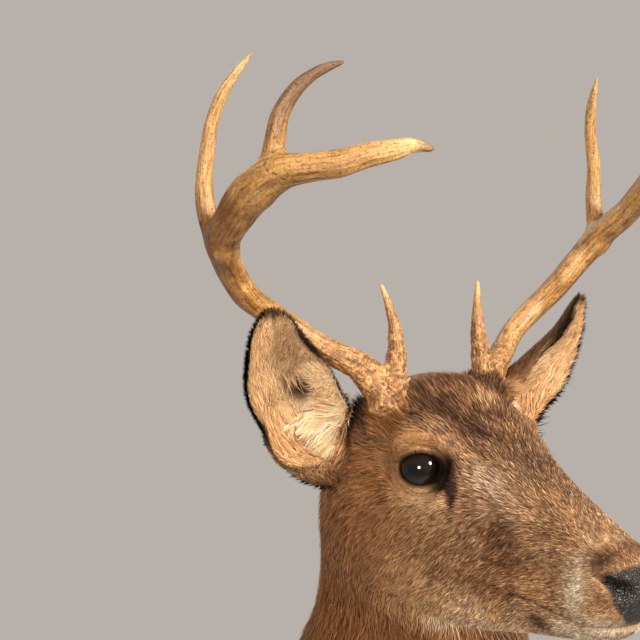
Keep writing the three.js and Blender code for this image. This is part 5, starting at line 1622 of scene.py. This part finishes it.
# ---- ears
for s, side in ((-1, "right"), (1, "left")):
    mir = np.array([1, s, 1])

    def ears(name, u, w, inside, along_k, across_k, length, width, stand, col, dark, pale, curved=False, bend=None, root_k=0.6, spread=0.16):
        """tufts on one face of the ear; along_k, across_k give their lie"""
        n_ = len(u)
        if inside:
            pt, nr, al_, ac_ = ear_in_at(u, w)
        else:
            pt, nr, al_, ac_, _ = ear_point(u, w, ear_half_thickness(u, w) + ear_wave(u, w))
            ac_ = unit(ear_point(u, w + 0.02, 0.0)[0] - ear_point(u, w - 0.02, 0.0)[0])
            # near the root the back of the ear swells out, so its own slope is used there
            ua, ub = np.clip(u - 0.012, 0, 1), np.clip(u + 0.012, 0, 1)
            rise = unit(ear_point(ub, w, ear_half_thickness(ub, w) + ear_wave(ub, w))[0] - ear_point(ua, w, ear_half_thickness(ua, w) + ear_wave(ua, w))[0])
            k = ((1 - sstep(u, 0.30, 0.45)) * (1 - sstep(np.abs(w), 0.80, 0.92)))[:, None]
            al_ = unit(al_ * (1 - k) + rise * k)
            face = np.cross(al_, ac_)
            face = unit(face * np.sign((face * nr).sum(1))[:, None])
            nr = unit(nr * (1 - k) + face * k)
        d = flat(unit(al_ * along_k[:, None] + ac_ * across_k[:, None]), nr)
        d = turn(d, nr, spread * rng.standard_normal(n_) + 0.22 * noise(pt, 11, 97))
        ln = length * (0.7 + 0.6 * rng.random(n_))
        wd = width * (0.75 + 0.5 * rng.random(n_)) * THICKER
        lift = np.arcsin(np.clip(stand * (0.4 + 0.7 * rng.random(n_)) / ln, 0.05, 0.6))
        c0, c1 = hair_colours(lin(np.clip(col, 8, 250)), pt, 0.28, 4.0, dark, pale, root_k)
        uv = np.stack([(0.25 if not inside else 0.75) + 0.22 * w, 0.02 + 0.95 * u], 1)
        emit(name + side, row(pt * mir), dirrow(nr * mir), dirrow(d * mir), ln, wd, lift, c0, c1, uv, curved=curved, bend=bend)

    n_ = int(8500 * DENS)
    u, w = rng.random(n_) ** 0.9, rng.random(n_) * 2 - 1
    one = np.ones(n_)
    ears("ear_back_", u, w, False, one, 0.3 * w, 10 - 3.5 * u, 0.95, 1.7, ear_colour(u, w, 0 * one), 0.3, 0.12)
    n_ = int(3600 * DENS)
    u = rng.random(n_) * 0.94 + 0.06
    w = np.where(rng.random(n_) < 0.42, -1, 1) * (0.93 + 0.075 * rng.random(n_))
    one = np.ones(n_)
    heavy = np.where(w > 0, sstep(u, 0.24, 0.4), sstep(u, 0.68, 0.82))
    ears("ear_rim_", u, np.clip(w, -1, 1), False, 0.75 * one, 1.0 * np.sign(w), 4.8 + 2.2 * heavy, 0.75, 1.8 + 0 * one, ear_colour(u, w, 0 * one), 0.4, 0.04, spread=0.3)
    # inner side of the rim
    n_ = int(2200 * DENS)
    u = 0.30 + 0.69 * rng.random(n_)
    w = np.where(rng.random(n_) < 0.55, -1, 1) * (0.86 + 0.135 * rng.random(n_))
    one = np.ones(n_)
    ears("ear_edge_", u, w, True, 0.9 * one, 0.55 * np.sign(w), 6.0 * one, 0.8, 1.6 + 0 * one, ear_colour(u, w, one), 0.3, 0.1)
    # lining: runs up the cup and out to the edges
    n_ = int(13000 * DENS)
    u, w = 0.08 + 0.92 * rng.random(n_), 0.98 * (rng.random(n_) * 2 - 1)
    hollow = np.exp(-(((w + 0.20) / 0.235) ** 2 + ((u - 0.565) / 0.092) ** 2) ** 1.6) + np.exp(-((w - 0.12) / 0.15) ** 2 - ((u - 0.335) / 0.04) ** 2)
    kp = rng.random(n_) > hollow * 1.05
    u, w = u[kp], w[kp]
    one = np.ones(len(u))
    upper = sstep(u, 0.50, 0.66)
    ac_k = np.where(w < 0, -0.85 * upper + 0.9 * (1 - sstep(u, 0.42, 0.52)), 0.35 * w)
    al_k = np.where(w < 0, upper * 1.0 - 0.25 * (1 - sstep(u, 0.42, 0.52)), 1.0)
    ears("ear_lining_", u, w, True, al_k + 0.05, ac_k, 7.5 + 4 * (1 - u), 0.72, 1.4 + 1.6 * (1 - u), ear_colour(u, w, one), 0.13, 0.22, root_k=0.72)
    # pale locks from the front edge: down and in over the upper hollow, across the filled root below it
    n_ = int(2600 * DENS)
    u = 0.40 + 0.24 * rng.random(n_)
    w = -0.98 + 0.50 * rng.random(n_) ** 1.3
    one = np.ones(n_)
    ears("ear_locks_", u, w, True, -0.55 + 0.35 * rng.standard_normal(n_) + 2.4 * sstep(u, 0.54, 0.64), 0.9 * one, 15 + 9 * rng.random(n_) - 12.5 * np.exp(-((u - 0.565) / 0.085) ** 2), 0.95, 4.0 * one, ear_colour(0.66 + 0 * u, w * 0.8, one) * 1.03, 0.06, 0.3, curved=True, bend=0.8 * one, root_k=0.7)
    n_ = int(4200 * DENS)
    u = 0.08 + 0.34 * rng.random(n_)
    w = -1.0 + 1.25 * rng.random(n_) ** 1.2
    kp = w < -0.62 + 3.0 * np.clip(u - 0.12, 0, 1)  # none over the lower edge at the root
    u, w = u[kp], w[kp]
    n_ = len(u)
    one = np.ones(n_)
    ears("ear_sweep_", u, w, True, -0.30 + 0.22 * rng.standard_normal(n_) + 0.9 * (1 - sstep(u, 0.08, 0.22)), 1.0 * one, (17 + 8 * rng.random(n_)) * (0.6 + 0.4 * sstep(u, 0.12, 0.28)), 1.0, 4.6 * one, blend_rows(np.array((166.0, 120, 80)), ear_colour(0.38 + 0 * u, w * 0 - 0.6, one) * np.array([0.96, 0.90, 0.82]), sstep(u, 0.11, 0.25)), 0.07, 0.3, curved=True, bend=0.6 * one, root_k=0.8)
    # a few long pale hairs hang across the upper hollow
    n_ = int(38 * DENS)
    u = 0.64 + 0.05 * rng.random(n_)
    w = -0.42 + 0.40 * rng.random(n_)
    one = np.ones(n_)
    ears("ear_cross_", u, w, True, -1.0 * one, 0.30 + 0.30 * rng.standard_normal(n_), 17 + 9 * rng.random(n_), 0.55, 4.5 * one, np.tile(np.array([204.0, 166, 126]), (n_, 1)), 0.05, 0.25, curved=True, bend=1.0 * one, root_k=0.7)
    n_ = int(1100 * DENS)
    u = 0.12 + 0.50 * rng.random(n_)
    w = 0.97 - 0.45 * rng.random(n_) ** 1.5
    one = np.ones(n_)
    ears("ear_fringe_", u, w, True, 0.9 + 0.5 * rng.random(n_), -0.35 * one, 14 + 6 * rng.random(n_), 0.95, 3.0 * one, ear_colour(u, w, one), 0.1, 0.25, curved=True, bend=0.6 * one, root_k=0.7)
    # the outside of the root, in front: pale hair streaming up and back over the edge
    n_ = int(2400 * DENS)
    u = 0.02 + 0.40 * rng.random(n_)
    w = np.where(rng.random(n_) < 0.72, -1, 1) * (1.0 - 0.55 * rng.random(n_))
    one = np.ones(n_)
    ears("ear_root_", u, w, False, 0.55 + 0.4 * rng.random(n_), np.where(w < 0, -0.8, 0.5), 12 + 6 * rng.random(n_), 0.95, 2.8 * one, ear_colour(u, w, 0 * one), 0.1, 0.24, curved=True, bend=0.5 * one)
log("coat triangles", COAT_COUNT)

# ------------------------------------------------------------------ stage, lights and camera
def panel(name, w, d, z, col):
    me = bpy.data.meshes.new(name)
    me.from_pydata([(-w, -d, z), (w, -d, z), (w, d, z), (-w, d, z)], [], [(0, 1, 2, 3)])
    ob = bpy.data.objects.new(name, me)
    bpy.context.scene.collection.objects.link(ob)

    def pale(nt, bs):
        n = noise_node(nt, 3.0, 2.0, 0.5)
        r = ramp(nt, n.outputs["Fac"], [(0.3, tuple(np.array(col) * 0.985)), (0.7, tuple(col))])
        nt.links.new(r.outputs["Color"], bs.inputs["Base Color"])
        bs.inputs["Roughness"].default_value = 0.9
        bs.inputs["Specular IOR Level"].default_value = 0.1

    me.materials.append(material(name + "_paint", pale))
    return ob


panel("floor", 6.0, 6.0, -1.4, (0.80, 0.79, 0.77))


def area_light(name, at, to, size, power, colour):
    d = bpy.data.lights.new(name, "AREA")
    d.shape = "SQUARE"
    d.size = size
    d.energy = power
    d.color = colour
    o = bpy.data.objects.new(name, d)
    o.location = at
    o.rotation_euler = (Vector(to) - Vector(at)).to_track_quat("-Z", "Y").to_euler()
    bpy.context.scene.collection.objects.link(o)


area_light("key", (1.3, -1.9, 1.15), (0.0, -0.35, 0.32), 0.42, 84, (1.0, 0.912, 0.815))
area_light("side", (-0.62, -2.2, 0.42), (0.0, -0.3, 0.3), 0.4, 31, (1.0, 0.89, 0.79))
area_light("rim", (-0.6, 0.9, 1.7), (0.0, -0.3, 0.4), 0.8, 5, (1.0, 0.95, 0.9))
world = bpy.data.worlds.new("studio")
world.use_nodes = True
bg = world.node_tree.nodes.get("Background") or world.node_tree.nodes.new("ShaderNodeBackground")
bg.inputs[0].default_value = (0.90, 0.83, 0.765, 1)
bg.inputs[1].default_value = 0.53
bpy.context.scene.world = world

cam = bpy.data.cameras.new("camera")
cam.lens, cam.sensor_width, cam.sensor_fit = 85.0, 36.0, "HORIZONTAL"
cam.clip_start, cam.clip_end = 0.05, 50.0
co = bpy.data.objects.new("camera", cam)
cu, cv, cb = (0.99619470, -0.08715574, 0.0), (-0.01212973, -0.13864351, 0.99026807), (-0.08630755, -0.98649980, -0.13917310)
co.matrix_world = Matrix(((cu[0], cv[0], cb[0], -0.220198), (cu[1], cv[1], cb[1], -1.573368), (cu[2], cv[2], cb[2], 0.268903), (0, 0, 0, 1)))
bpy.context.scene.collection.objects.link(co)
bpy.context.scene.camera = co
bpy.context.scene.view_settings.view_transform = "Standard"
bpy.context.scene.view_settings.look = "None"

# ------------------------------------------------------------------ closing update of the view layer
bpy.context.view_layer.update()
